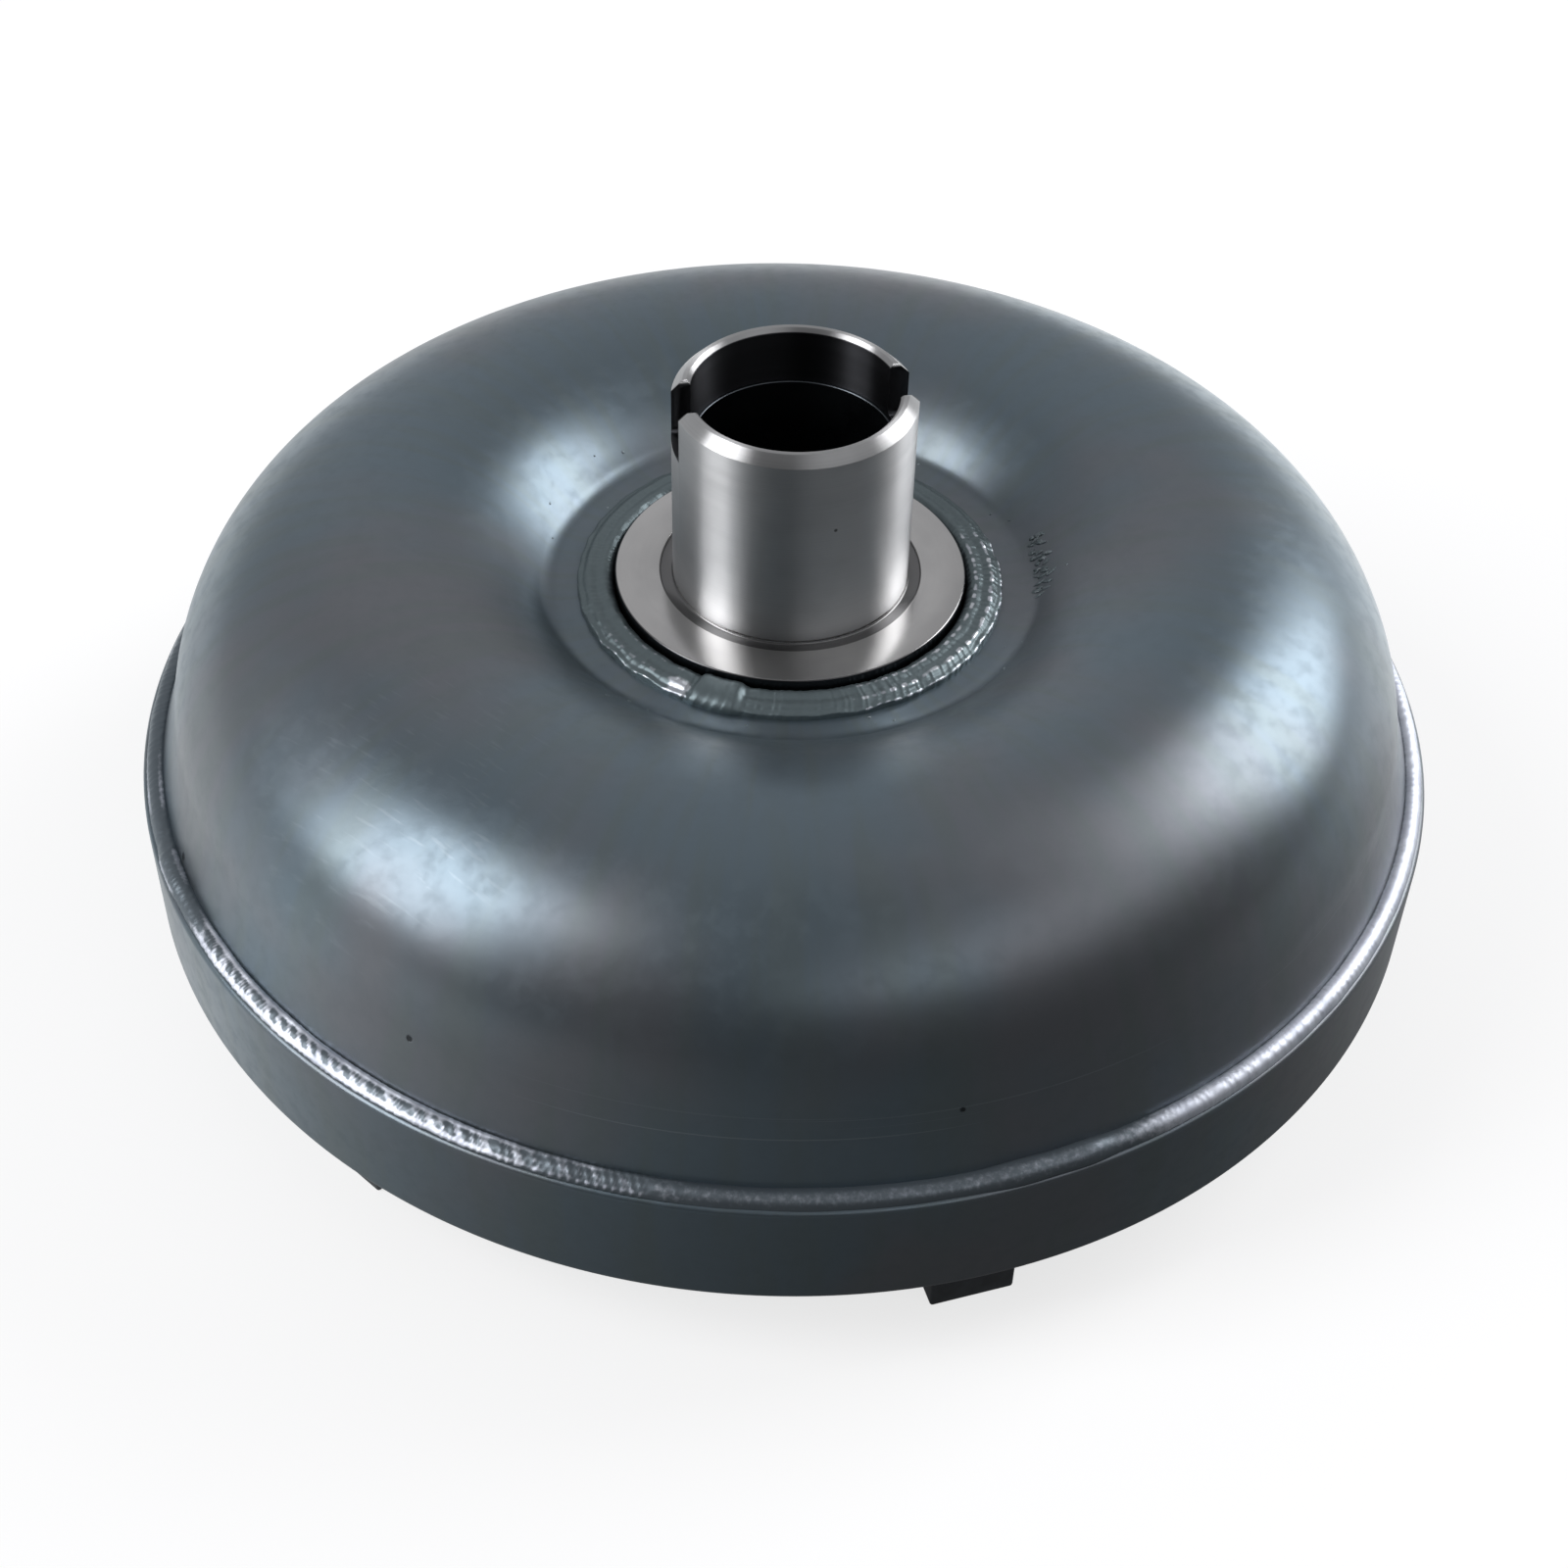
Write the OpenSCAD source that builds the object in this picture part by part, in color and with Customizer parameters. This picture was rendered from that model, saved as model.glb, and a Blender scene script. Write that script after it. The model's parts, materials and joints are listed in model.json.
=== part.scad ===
// Welded three-element torque converter: a dished impeller shell with its pump drive hub, a cup-shaped
// front cover with drive lugs, and the turbine, stator and one-way clutch that run inside them.
// +Z is the axis of rotation and points to the transmission. Z = 0 is the plane of the drive lug faces.

/* [Front cover] */
// Outside diameter of the cover belt
cover_d = 310; // [308:0.5:314]
// Height of the cover belt, from its flat face to the weld seam
belt_h = 29.4; // [28:0.1:31]
// Thickness of the cover plate
cover_wall = 6.3; // [5.5:0.1:7]
// Rounding of the belt's lower edge
belt_edge_r = 2.3; // [1.5:0.1:3.5]
// Rounding of the belt's upper edge, beside the seam bead
belt_top_r = 1.3; // [0.5:0.1:1.5]
// Depth of the cover's centre bulge below its flat face
bulge_h = 8; // [6:0.5:9]
// Outer radius of the bulge's flat face
bulge_r = 56; // [52:1:60]

/* [Drive lugs] */
// Number of drive lugs
lug_count = 6; // [3:1:8]
// Height of a lug, from its mounting face to the cover's flat face
lug_h = 22.2; // [21:0.1:25]
// Width of a lug across the radius
lug_w = 19.4; // [17:0.1:24]
// Length of a lug along the radius
lug_l = 22; // [18:1:26]
// Distance from the axis to a lug's outer face
lug_reach = 144; // [138:0.5:147]
// Angle of the first lug from the drive slots' axis
lug_turn = 37; // [0:1:59]
// Pitch circle diameter of the lug bolts
lug_pcd = 266; // [258:1:270]
// Tapping diameter of the lug bolt holes
lug_hole_d = 8.5; // [6:0.1:10]
// Depth of the lug bolt holes
lug_hole_l = 16; // [12:1:18]

/* [Impeller shell] */
// Radius at which the ring-shaped shell is highest
torus_r = 96.1; // [95:0.1:98]
// Half width of the shell's ring section, outside
torus_half_w = 49.8; // [49.4:0.1:50]
// Height of the shell's ring section above its widest level, outside
torus_h = 46.6; // [46.2:0.1:48]
// Arc radius of the shell's flanks
flank_arc = 45; // [44:0.5:45.5]
// Height of the shell's widest level above the weld seam
torus_lift = 9.5; // [9:0.1:11]
// Shell thickness
shell_wall = 5; // [4:0.1:5.5]
// Length of the shell's skirt inside the cover
skirt_l = 12; // [8:1:14]
// Height of the conical flare above the weld seam
flare_h = 15.3; // [14:0.1:16]
// Outer radius of the flat land around the hub
land_r = 57; // [55:0.5:59]
// Height of the land above the weld seam
land_lift = 38.5; // [38:0.1:40]

/* [Pump hub] */
// Outside diameter of the hub's seal journal
journal_d = 55; // [54:0.1:56]
// Inside diameter of the hub
hub_bore_d = 46.4; // [45:0.1:47]
// Height of the hub's rim above its flange face
journal_h = 50; // [40:1:60]
// Diameter of the hub's machined flange
flange_d = 82; // [80:0.5:84]
// Height of the flange face above the land
flange_lift = 3.8; // [3:0.1:5]
// Diameter of the hub's shoulder in the shell
shoulder_d = 87; // [86:0.5:88]
// Width of the drive slots
slot_w = 11.2; // [8:0.1:14]
// Depth of the drive slots
slot_l = 13; // [8:0.5:16]
// Inside diameter of the hub's bush
bush_d = 44.8; // [44:0.1:45]
// Length of the hub's bush
bush_l = 26; // [15:1:30]

/* [Weld beads] */
// Radius of the seam bead's rounded back
seam_bead_r = 2.9; // [2.8:0.1:3.2]
// Width of the hub bead
hub_bead_w = 7.6; // [6.5:0.1:8]
// Height of the hub bead
hub_bead_h = 3; // [2.5:0.1:3.3]
// Width of the groove left between the hub's flange and the hub bead
hub_groove_w = 1.2; // [1:0.1:1.6]
// Leg of the lug and pilot fillets
fillet_leg = 4; // [2:0.5:4]

/* [Blade wheels] */
// Number of impeller blades
impeller_blade_count = 25; // [15:1:31]
// Number of turbine blades
turbine_blade_count = 23; // [15:1:31]
// Thickness of a blade at its outer end
blade_t = 1.6; // [1:0.1:2.5]
// Half width of the turbine shell's ring section, outside
turbine_half_w = 43.5; // [42:0.1:43.7]
// Depth of the turbine shell's ring section, outside
turbine_h = 33.5; // [32:0.1:34]
// Arc radius of the turbine shell's flanks
turbine_flank_arc = 27; // [25:0.5:28]
// Thickness of the turbine shell
turbine_wall = 2; // [1.5:0.1:2.5]
// Radius at the middle of the core rings
core_r = 103.5; // [102:0.5:105]
// Half width of the core rings
core_half_w = 25; // [24:0.5:25]
// Thickness of the core rings
core_wall = 1.5; // [1:0.1:2]

/* [Stator] */
// Number of stator vanes
vane_count = 17; // [11:1:19]
// Radius of the bore that holds the one-way clutch
stator_bore_r = 44; // [43.5:0.1:44.5]
// Outer radius of the stator's hub
stator_hub_r = 56; // [53:1:57]
// Inner radius of the stator's band
band_r = 79; // [78:0.5:79.5]
// Thickness of the band
band_t = 2.5; // [2:0.1:2.5]

/* [One-way clutch] */
// Number of clutch rollers
roller_count = 10; // [6:1:10]
// Roller diameter
roller_d = 7; // [6.4:0.1:7]
// Outer radius of the splined inner race
race_r = 29; // [28:0.1:29]
// Number of teeth in the inner race's spline
race_teeth = 22; // [12:1:28]
// Tip radius of the inner race's spline teeth
race_spline_r = 17.5; // [16:0.5:18]
// Number of teeth in the turbine hub's spline
hub_teeth = 18; // [12:1:24]
// Tip radius of the turbine hub's spline teeth
hub_spline_r = 13; // [12:0.5:14]
// Depth of the spline teeth
tooth_h = 1.5; // [1:0.1:1.8]

/* [Thrust bearings] */
// Number of needles in each thrust bearing
needle_count = 20; // [12:1:24]
// Needle diameter
needle_d = 2; // [2:0.1:2]
// Needle length
needle_l = 8; // [5:0.5:8]
// Thickness of a bearing race
race_t = 1; // [0.8:0.1:1]

/* [Pilot] */
// Diameter of the pilot that centres the converter in the engine
pilot_d = 42; // [36:1:44]
// Length of the pilot
pilot_l = 7.5; // [5:0.5:8]

/* [Hidden] */
$fn = 96;

// Gap between pieces that are pressed or brazed together
joint_gap = 0.1;
// Gap between pieces that turn against each other
run_gap = 0.3;
// Overshoot of a cutting shape past the face it cuts
cut = 1;

// Levels along the axis
face_z = lug_h;
seam_z = face_z + belt_h;
torus_z = seam_z + torus_lift;
land_z = seam_z + land_lift;
flange_z = land_z + flange_lift;
rim_z = flange_z + journal_h;
hub_base_z = land_z - 8.9;
split_z = torus_z + 3.9;
bulge_z = face_z - bulge_h;
cover_floor_z = bulge_z + cover_wall;
turbine_top_z = split_z - 0.5;
lower_core_top_z = split_z - 0.7;

// Radii
cover_r = cover_d / 2;
journal_r = journal_d / 2;
hub_bore_r = hub_bore_d / 2;
flange_r = flange_d / 2;
shoulder_r = shoulder_d / 2;
shell_r = torus_r + torus_half_w;
shell_bore_r = shell_r - shell_wall;
seam_toe_r = shell_r + 4.3;
pilot_r = pilot_d / 2;
spigot_r = 16;
pilot_shoulder_r = pilot_r + 3;

// Thrust bearing stacks, from the stator outwards to its neighbours
stator_top_z = 77;
stator_foot_z = 52.9;
bearing_in_r = 31;
bearing_out_r = bearing_in_r + 10;
roll_gap = 0.05;
upper_needle_z = hub_base_z - race_t - roll_gap - needle_d / 2;
lower_needle_z = stator_foot_z - race_t - roll_gap - needle_d / 2;
turbine_face_z = stator_foot_z - 2 * (race_t + roll_gap) - needle_d;

// Heights and flank arcs of the core rings' ovals
upper_core_h = 21;
upper_core_arc = 19;
lower_core_h = 15;
lower_core_arc = 12.5;

// Inner ends of the blades, and the level that the blades clear the wheel beside them by
turbine_blade_in_r = 58.5;
impeller_blade_in_r = land_r + 4;
impeller_blade_foot_z = stator_top_z + 1;
turbine_blade_head_z = turbine_face_z + turbine_wall + 0.7;

// Turbine hub and the washer below it
washer_t = 3;
rivet_circle_r = 49;
rivet_count = 12;
rivet_r = 2.5;
rivet_play = 0.1;
hub_flange_t = 5;
neck_r = 42.5;
turbine_neck_out_r = 58;

// One-way clutch
clutch_z = stator_foot_z + 2.3;
cam_l = 17;
roller_r = roller_d / 2;
roller_circle_r = race_r + run_gap + roller_r;
cam_in_r = race_r + 1.2;

steel = "silver";
dark_steel = "dimgray";
paint = "slategray";
bronze = "peru";

// Radius of the crown arc that joins two flank arcs of radius f into an oval of half width a and height b
function crown_arc(a, b, f) = (pow(a - f, 2) + b * b - f * f) / (2 * (b - f));

// Upper half of a three-arc oval, centred on the origin and drawn in all round by inset
module half_oval(a, b, f, inset) {
    crown = crown_arc(a, b, f);
    drop = crown - b;
    shift = a - f;
    spread = 1.2 * crown / drop;
    intersection() {
        union() {
            for (side = [-1, 1]) translate([side * shift, 0]) circle(r = f - inset);
            intersection() {
                translate([0, -drop]) circle(r = crown - inset);
                polygon([
                    [0, -drop],
                    [-spread * shift, (spread - 1) * drop],
                    [spread * shift, (spread - 1) * drop]
                ]);
            }
        }
        translate([-a, 0]) square([2 * a, b]);
    }
}

// Sections of the flow passage: shell ovals and core ovals, above and below the split plane
module shell_oval(inset) {
    translate([torus_r, torus_z]) half_oval(torus_half_w, torus_h, flank_arc, inset);
}

module turbine_oval(inset) {
    translate([torus_r, turbine_top_z]) mirror([0, 1])
        half_oval(turbine_half_w, turbine_h, turbine_flank_arc, inset);
}

module upper_core_oval(inset) {
    translate([core_r, split_z]) half_oval(core_half_w, upper_core_h, upper_core_arc, inset);
}

module lower_core_oval(inset) {
    translate([core_r, lower_core_top_z]) mirror([0, 1])
        half_oval(core_half_w, lower_core_h, lower_core_arc, inset);
}

// Ring of height h between two radii, standing at height z
module ring(z, h, r_in, r_out) {
    translate([0, 0, z]) difference() {
        cylinder(h = h, r = r_out);
        translate([0, 0, -cut]) cylinder(h = h + 2 * cut, r = r_in);
    }
}

// Rectangle of a section from (r0, z0) to (r1, z1)
module block(r0, z0, r1, z1) {
    translate([r0, z0]) square([r1 - r0, z1 - z0]);
}

// Copies of the children, evenly spaced about the axis
module around(count, first = 0) {
    for (i = [0 : count - 1]) rotate([0, 0, first + i * 360 / count]) children();
}

// Bore with straight-sided spline teeth, as a flat shape
module spline_bore(tip_r, teeth) {
    root_r = tip_r + tooth_h;
    groove_w = PI * root_r / teeth;
    circle(r = tip_r);
    for (i = [0 : teeth - 1]) rotate(i * 360 / teeth)
        translate([tip_r - tooth_h, -groove_w / 2]) square([2 * tooth_h, groove_w]);
}

// The flare leaves the shell's flank above its widest level and ends under the seam bead
module impeller_shell() {
    flare_inset = 0.6;
    toe_rise = 1.9;
    color(paint) rotate_extrude() {
        difference() {
            shell_oval(0);
            shell_oval(shell_wall);
            block(0, torus_z, torus_r - shell_wall, land_z - shell_wall);
        }
        block(shoulder_r + joint_gap, land_z - shell_wall, land_r + 0.5, land_z);
        block(shell_bore_r, seam_z - skirt_l, shell_r, torus_z);
        polygon([
            [shell_bore_r + flare_inset, seam_z + joint_gap],
            [seam_toe_r, seam_z + joint_gap],
            [seam_toe_r, seam_z + toe_rise],
            [shell_r - flare_inset, seam_z + flare_h],
            [shell_bore_r + flare_inset, torus_z]
        ]);
    }
}

module impeller_blade_section() {
    difference() {
        intersection() {
            shell_oval(shell_wall + joint_gap);
            union() {
                block(core_r, split_z + run_gap, shell_r, rim_z);
                block(impeller_blade_in_r, impeller_blade_foot_z, core_r, rim_z);
            }
        }
        upper_core_oval(-joint_gap);
    }
}

module impeller_blades() {
    sector = blade_t / shell_r * 180 / PI;
    color(dark_steel) around(impeller_blade_count) rotate_extrude(angle = sector) impeller_blade_section();
}

module impeller_core_ring() {
    color(dark_steel) rotate_extrude() difference() {
        upper_core_oval(0);
        upper_core_oval(core_wall);
        block(0, 0, core_r, impeller_blade_foot_z);
        block(0, 0, shell_r, split_z + run_gap);
    }
}

// Profile of a drive slot, as seen along its length, with its mouth at the rim
module slot_profile() {
    floor_corner = 1.5;
    mouth_corner = 1.2;
    half = slot_w / 2;
    difference() {
        union() {
            translate([-half, floor_corner]) square([slot_w, slot_l + cut - floor_corner]);
            translate([-half + floor_corner, 0]) square([slot_w - 2 * floor_corner, slot_l]);
            for (side = [-1, 1]) translate([side * (half - floor_corner), floor_corner])
                circle(r = floor_corner);
            translate([-half - mouth_corner, slot_l - mouth_corner])
                square([slot_w + 2 * mouth_corner, mouth_corner + cut]);
        }
        for (side = [-1, 1]) translate([side * (half + mouth_corner), slot_l - mouth_corner])
            circle(r = mouth_corner);
    }
}

module pump_hub() {
    rim_chamfer = 2.3;
    bore_chamfer = 1;
    undercut_w = 3;
    undercut_h = 0.6;
    gap_floor = 0.6;
    color(steel) difference() {
        rotate_extrude() difference() {
            union() {
                block(hub_bore_r, hub_base_z, shoulder_r, land_z - gap_floor);
                block(hub_bore_r, hub_base_z, flange_r, flange_z);
                block(hub_bore_r, hub_base_z, journal_r, rim_z);
            }
            block(journal_r, flange_z - undercut_h, journal_r + undercut_w, flange_z + cut);
            polygon([
                [journal_r - rim_chamfer, rim_z],
                [journal_r, rim_z - rim_chamfer],
                [journal_r + cut, rim_z - rim_chamfer],
                [journal_r + cut, rim_z + cut],
                [journal_r - rim_chamfer, rim_z + cut]
            ]);
            polygon([
                [hub_bore_r - cut, rim_z - bore_chamfer],
                [hub_bore_r, rim_z - bore_chamfer],
                [hub_bore_r + bore_chamfer, rim_z],
                [hub_bore_r + bore_chamfer, rim_z + cut],
                [hub_bore_r - cut, rim_z + cut]
            ]);
        }
        translate([-journal_r - cut, 0, rim_z - slot_l]) rotate([90, 0, 90])
            linear_extrude(journal_d + 2 * cut) slot_profile();
    }
}

module hub_bush() {
    color(bronze) ring(rim_z - slot_l - 0.5 - bush_l, bush_l, bush_d / 2, hub_bore_r);
}

module hub_weld() {
    half = hub_bead_w / 2;
    back_r = (half * half + hub_bead_h * hub_bead_h) / (2 * hub_bead_h);
    color(paint) rotate_extrude() intersection() {
        translate([flange_r + hub_groove_w + half, land_z + hub_bead_h - back_r]) circle(r = back_r);
        block(flange_r, land_z, land_r, flange_z);
    }
}

module front_cover() {
    floor_corner = 4;
    lip_z = seam_z - skirt_l - joint_gap;
    inner_z = face_z + cover_wall;
    slant = cover_wall * tan(22.5);
    color(paint) rotate_extrude() difference() {
        union() {
            block(shell_bore_r - floor_corner, face_z, cover_r, seam_z);
            polygon([
                [spigot_r, bulge_z],
                [bulge_r, bulge_z],
                [bulge_r + bulge_h, face_z],
                [shell_bore_r, face_z],
                [shell_bore_r, inner_z],
                [bulge_r + bulge_h - slant, inner_z],
                [bulge_r - slant, cover_floor_z],
                [spigot_r, cover_floor_z]
            ]);
        }
        difference() {
            block(cover_r - belt_edge_r, face_z - cut, cover_r + cut, face_z + belt_edge_r);
            translate([cover_r - belt_edge_r, face_z + belt_edge_r]) circle(r = belt_edge_r);
        }
        difference() {
            block(cover_r - belt_top_r, seam_z - belt_top_r, cover_r + cut, seam_z + cut);
            translate([cover_r - belt_top_r, seam_z - belt_top_r]) circle(r = belt_top_r);
        }
        block(shell_bore_r - floor_corner - cut, inner_z + floor_corner, shell_bore_r, seam_z + cut);
        block(shell_bore_r - floor_corner - cut, lip_z, shell_r + joint_gap, seam_z + cut);
        translate([shell_bore_r - floor_corner, inner_z + floor_corner]) circle(r = floor_corner);
    }
}

// Bead in the corner between the belt's upper edge and the shell's flare
module seam_weld() {
    centre_out = 1.05;
    centre_drop = 0.35;
    color(steel) rotate_extrude() intersection() {
        translate([seam_toe_r + centre_out, seam_z - centre_drop]) circle(r = seam_bead_r);
        block(seam_toe_r + joint_gap, seam_z, cover_r, seam_z + seam_bead_r);
    }
}

module pilot_boss() {
    shoulder_h = 3.7;
    pilot_chamfer = 1.5;
    centre_r = 5;
    tip_z = bulge_z - shoulder_h - pilot_l;
    color(steel) rotate_extrude() difference() {
        union() {
            block(0, bulge_z - shoulder_h, pilot_shoulder_r, bulge_z);
            block(0, bulge_z, spigot_r - joint_gap, cover_floor_z);
            polygon([
                [0, tip_z],
                [pilot_r - pilot_chamfer, tip_z],
                [pilot_r, tip_z + pilot_chamfer],
                [pilot_r, bulge_z],
                [0, bulge_z]
            ]);
        }
        polygon([[0, tip_z - cut], [centre_r + cut, tip_z - cut], [0, tip_z + centre_r]]);
    }
}

module pilot_weld() {
    leg = fillet_leg - 0.5;
    color(steel) rotate_extrude() polygon([
        [pilot_shoulder_r, bulge_z],
        [pilot_shoulder_r + leg, bulge_z],
        [pilot_shoulder_r, bulge_z - leg]
    ]);
}

module drive_lugs() {
    color(dark_steel) around(lug_count, lug_turn) difference() {
        translate([lug_reach - lug_l, -lug_w / 2, 0]) cube([lug_l, lug_w, lug_h]);
        translate([lug_pcd / 2, 0, -cut]) cylinder(h = lug_hole_l + cut, d = lug_hole_d);
    }
}

// Fillets along both long sides of every lug, where it meets the cover
module lug_welds() {
    color(steel) around(lug_count, lug_turn) for (side = [0, 1]) mirror([0, side, 0])
        translate([lug_reach, lug_w / 2, face_z]) rotate([90, 0, -90])
            linear_extrude(lug_l) polygon([[0, 0], [-fillet_leg, 0], [0, -fillet_leg]]);
}

// Two small plates under the cover, set between lugs
module balance_weights() {
    weight_t = 2.5;
    weight_angle = 9;
    weight_in_r = 128;
    weight_out_r = 142;
    color(steel) for (turn = [90, 150]) rotate([0, 0, lug_turn + turn - weight_angle / 2])
        rotate_extrude(angle = weight_angle)
            block(weight_in_r, face_z - weight_t, weight_out_r, face_z);
}

module cover_thrust_washer() {
    washer_out_r = 30;
    color(bronze) ring(cover_floor_z, washer_t, spigot_r, washer_out_r);
}

module impeller_bearing_race() {
    color(steel) ring(hub_base_z - race_t, race_t, bearing_in_r - 0.5, bearing_out_r + 0.8);
}

module turbine_shell() {
    color(dark_steel) difference() {
        rotate_extrude() {
            difference() {
                turbine_oval(0);
                turbine_oval(turbine_wall);
                block(0, turbine_face_z + turbine_wall, torus_r, split_z);
            }
            block(neck_r, turbine_face_z, turbine_neck_out_r, turbine_face_z + turbine_wall);
        }
        around(rivet_count) translate([rivet_circle_r, 0, turbine_face_z - cut])
            cylinder(h = turbine_wall + 2 * cut, r = rivet_r + rivet_play, $fn = 24);
    }
}

module turbine_blade_section() {
    difference() {
        intersection() {
            turbine_oval(turbine_wall + joint_gap);
            union() {
                block(core_r, face_z, shell_r, split_z - 1);
                block(turbine_blade_in_r, face_z, core_r, turbine_blade_head_z);
            }
        }
        lower_core_oval(-joint_gap);
    }
}

module turbine_blades() {
    sector = blade_t / shell_r * 180 / PI;
    color(dark_steel) around(turbine_blade_count) rotate_extrude(angle = sector) turbine_blade_section();
}

module turbine_core_ring() {
    color(dark_steel) rotate_extrude() difference() {
        lower_core_oval(0);
        lower_core_oval(core_wall);
        block(0, turbine_blade_head_z, core_r, split_z);
    }
}

module turbine_hub() {
    hub_out_r = 26;
    hub_rim_r = 55;
    foot_z = cover_floor_z + washer_t + run_gap;
    color(steel) difference() {
        rotate_extrude() {
            block(hub_spline_r - cut, foot_z, hub_out_r, turbine_face_z);
            block(hub_out_r - cut, turbine_face_z - hub_flange_t, hub_rim_r, turbine_face_z);
        }
        translate([0, 0, foot_z - cut])
            linear_extrude(turbine_face_z - foot_z + 2 * cut) spline_bore(hub_spline_r, hub_teeth);
        around(rivet_count) translate([rivet_circle_r, 0, turbine_face_z - hub_flange_t - cut])
            cylinder(h = hub_flange_t + 2 * cut, r = rivet_r + rivet_play, $fn = 24);
    }
}

module turbine_rivets() {
    head_r = 4.2;
    head_h = 1.2;
    low_z = turbine_face_z - hub_flange_t;
    high_z = turbine_face_z + turbine_wall;
    color(steel) around(rivet_count) translate([rivet_circle_r, 0, 0]) {
        translate([0, 0, low_z - head_h]) cylinder(h = head_h, r = head_r, $fn = 24);
        translate([0, 0, low_z - cut / 2]) cylinder(h = high_z - low_z + cut, r = rivet_r, $fn = 24);
        translate([0, 0, high_z]) cylinder(h = head_h, r = head_r, $fn = 24);
    }
}

module turbine_bearing_race() {
    color(steel) ring(turbine_face_z, race_t, bearing_in_r - 0.5, bearing_out_r + 0.5);
}

// Flat cage with one window for each needle
module bearing_cage(mid_z) {
    cage_t = 1.2;
    window_play = 0.1;
    middle_r = (bearing_in_r + bearing_out_r) / 2;
    color(bronze) translate([0, 0, mid_z - cage_t / 2]) linear_extrude(cage_t) difference() {
        circle(r = bearing_out_r);
        circle(r = bearing_in_r);
        for (i = [0 : needle_count - 1]) rotate(i * 360 / needle_count) translate([middle_r, 0])
            square([needle_l + 2 * window_play, needle_d + 2 * window_play], center = true);
    }
}

module bearing_needles(mid_z) {
    middle_r = (bearing_in_r + bearing_out_r) / 2;
    color(steel) around(needle_count) translate([middle_r, 0, mid_z]) rotate([0, 90, 0])
        cylinder(h = needle_l, d = needle_d, center = true, $fn = 24);
}

module turbine_bearing_cage() {
    bearing_cage(lower_needle_z);
}

module turbine_bearing_needles() {
    bearing_needles(lower_needle_z);
}

module impeller_bearing_cage() {
    bearing_cage(upper_needle_z);
}

module impeller_bearing_needles() {
    bearing_needles(upper_needle_z);
}

// Cambered vane section between two arcs, with its chord along Y
module vane_section() {
    back_arc = 12;
    front_arc = 17;
    vane_t = 3.6;
    difference() {
        translate([vane_t - back_arc, 0]) circle(r = back_arc);
        translate([-front_arc, 0]) circle(r = front_arc);
    }
}

module stator_wheel() {
    vane_lean = 24;
    lip_r = 34;
    band_inset = 1.3;
    groove_z = clutch_z + cam_l + 2.7;
    vane_root_r = stator_hub_r - 2;
    color("lightgray") {
        rotate_extrude() difference() {
            block(lip_r, stator_foot_z, stator_hub_r, stator_top_z);
            block(0, clutch_z, stator_bore_r, stator_top_z + cut);
            block(0, groove_z, stator_bore_r + 1.3, groove_z + 1.6);
        }
        ring(stator_foot_z + band_inset, stator_top_z - stator_foot_z - 2 * band_inset, band_r, band_r + band_t);
        around(vane_count) translate([vane_root_r, 0, (stator_foot_z + stator_top_z) / 2])
            rotate([vane_lean, 0, 0]) rotate([90, 0, 90])
                linear_extrude(band_r + band_t / 4 - vane_root_r) vane_section();
    }
}

module stator_lower_race() {
    color(steel) ring(stator_foot_z - race_t, race_t, bearing_in_r, bearing_out_r + 0.5);
}

// Thick race that stands on the clutch retainer, inside the snap ring
module stator_upper_race() {
    seat_z = clutch_z + cam_l + 2.6;
    top_z = upper_needle_z - needle_d / 2 - roll_gap;
    color(steel) ring(seat_z, top_z - seat_z, bearing_in_r, bearing_out_r + 0.5);
}

// One pocket of the cam ring: the roller's seat and ramp, and the spring's room beside it
module cam_pocket() {
    play = 0.15;
    spring_room = 8;
    translate([roller_circle_r, 0]) circle(r = roller_r + play, $fn = 48);
    translate([cam_in_r - cut, -spring_room])
        square([roller_circle_r + roller_r - 0.8 - cam_in_r + cut, spring_room]);
}

module clutch_cam_ring() {
    color(dark_steel) translate([0, 0, clutch_z]) linear_extrude(cam_l) difference() {
        circle(r = stator_bore_r - 0.02);
        circle(r = cam_in_r);
        for (i = [0 : roller_count - 1]) rotate(i * 360 / roller_count) cam_pocket();
    }
}

module clutch_rollers() {
    color(steel) around(roller_count) translate([roller_circle_r, 0, clutch_z + 0.5])
        cylinder(h = cam_l - 1, r = roller_r, $fn = 48);
}

// Folded strip spring that pushes each roller up its ramp
module clutch_springs() {
    strip_t = 0.35;
    folds = 5;
    near_y = -roller_r - 0.4;
    far_y = -7.7;
    low_x = cam_in_r + 0.4;
    high_x = roller_circle_r + roller_r - 1.4;
    step = (far_y - near_y) / folds;
    path = [for (i = [0 : folds]) [i % 2 == 0 ? low_x : high_x, near_y + i * step]];
    thick = [0, strip_t];
    color(steel) around(roller_count) translate([0, 0, clutch_z + 1.5]) linear_extrude(cam_l - 3)
        for (i = [1 : folds]) polygon([path[i - 1], path[i], path[i] + thick, path[i - 1] + thick]);
}

module clutch_retainer() {
    color(dark_steel) ring(clutch_z + cam_l + joint_gap, 2.5, race_r + 0.6, stator_bore_r - joint_gap);
}

// Split ring in the stator's groove, with its gap on the -Y side
module clutch_snap_ring() {
    gap_angle = 14;
    color(steel) rotate([0, 0, -90 + gap_angle / 2]) rotate_extrude(angle = 360 - gap_angle)
        block(bearing_out_r + 0.9, clutch_z + cam_l + 2.75, stator_bore_r + 1.2, clutch_z + cam_l + 4.2);
}

module clutch_inner_race() {
    foot_z = stator_foot_z + 0.5;
    race_l = stator_top_z - foot_z;
    color(steel) translate([0, 0, foot_z]) linear_extrude(race_l) difference() {
        circle(r = race_r);
        spline_bore(race_spline_r, race_teeth);
    }
}

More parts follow.
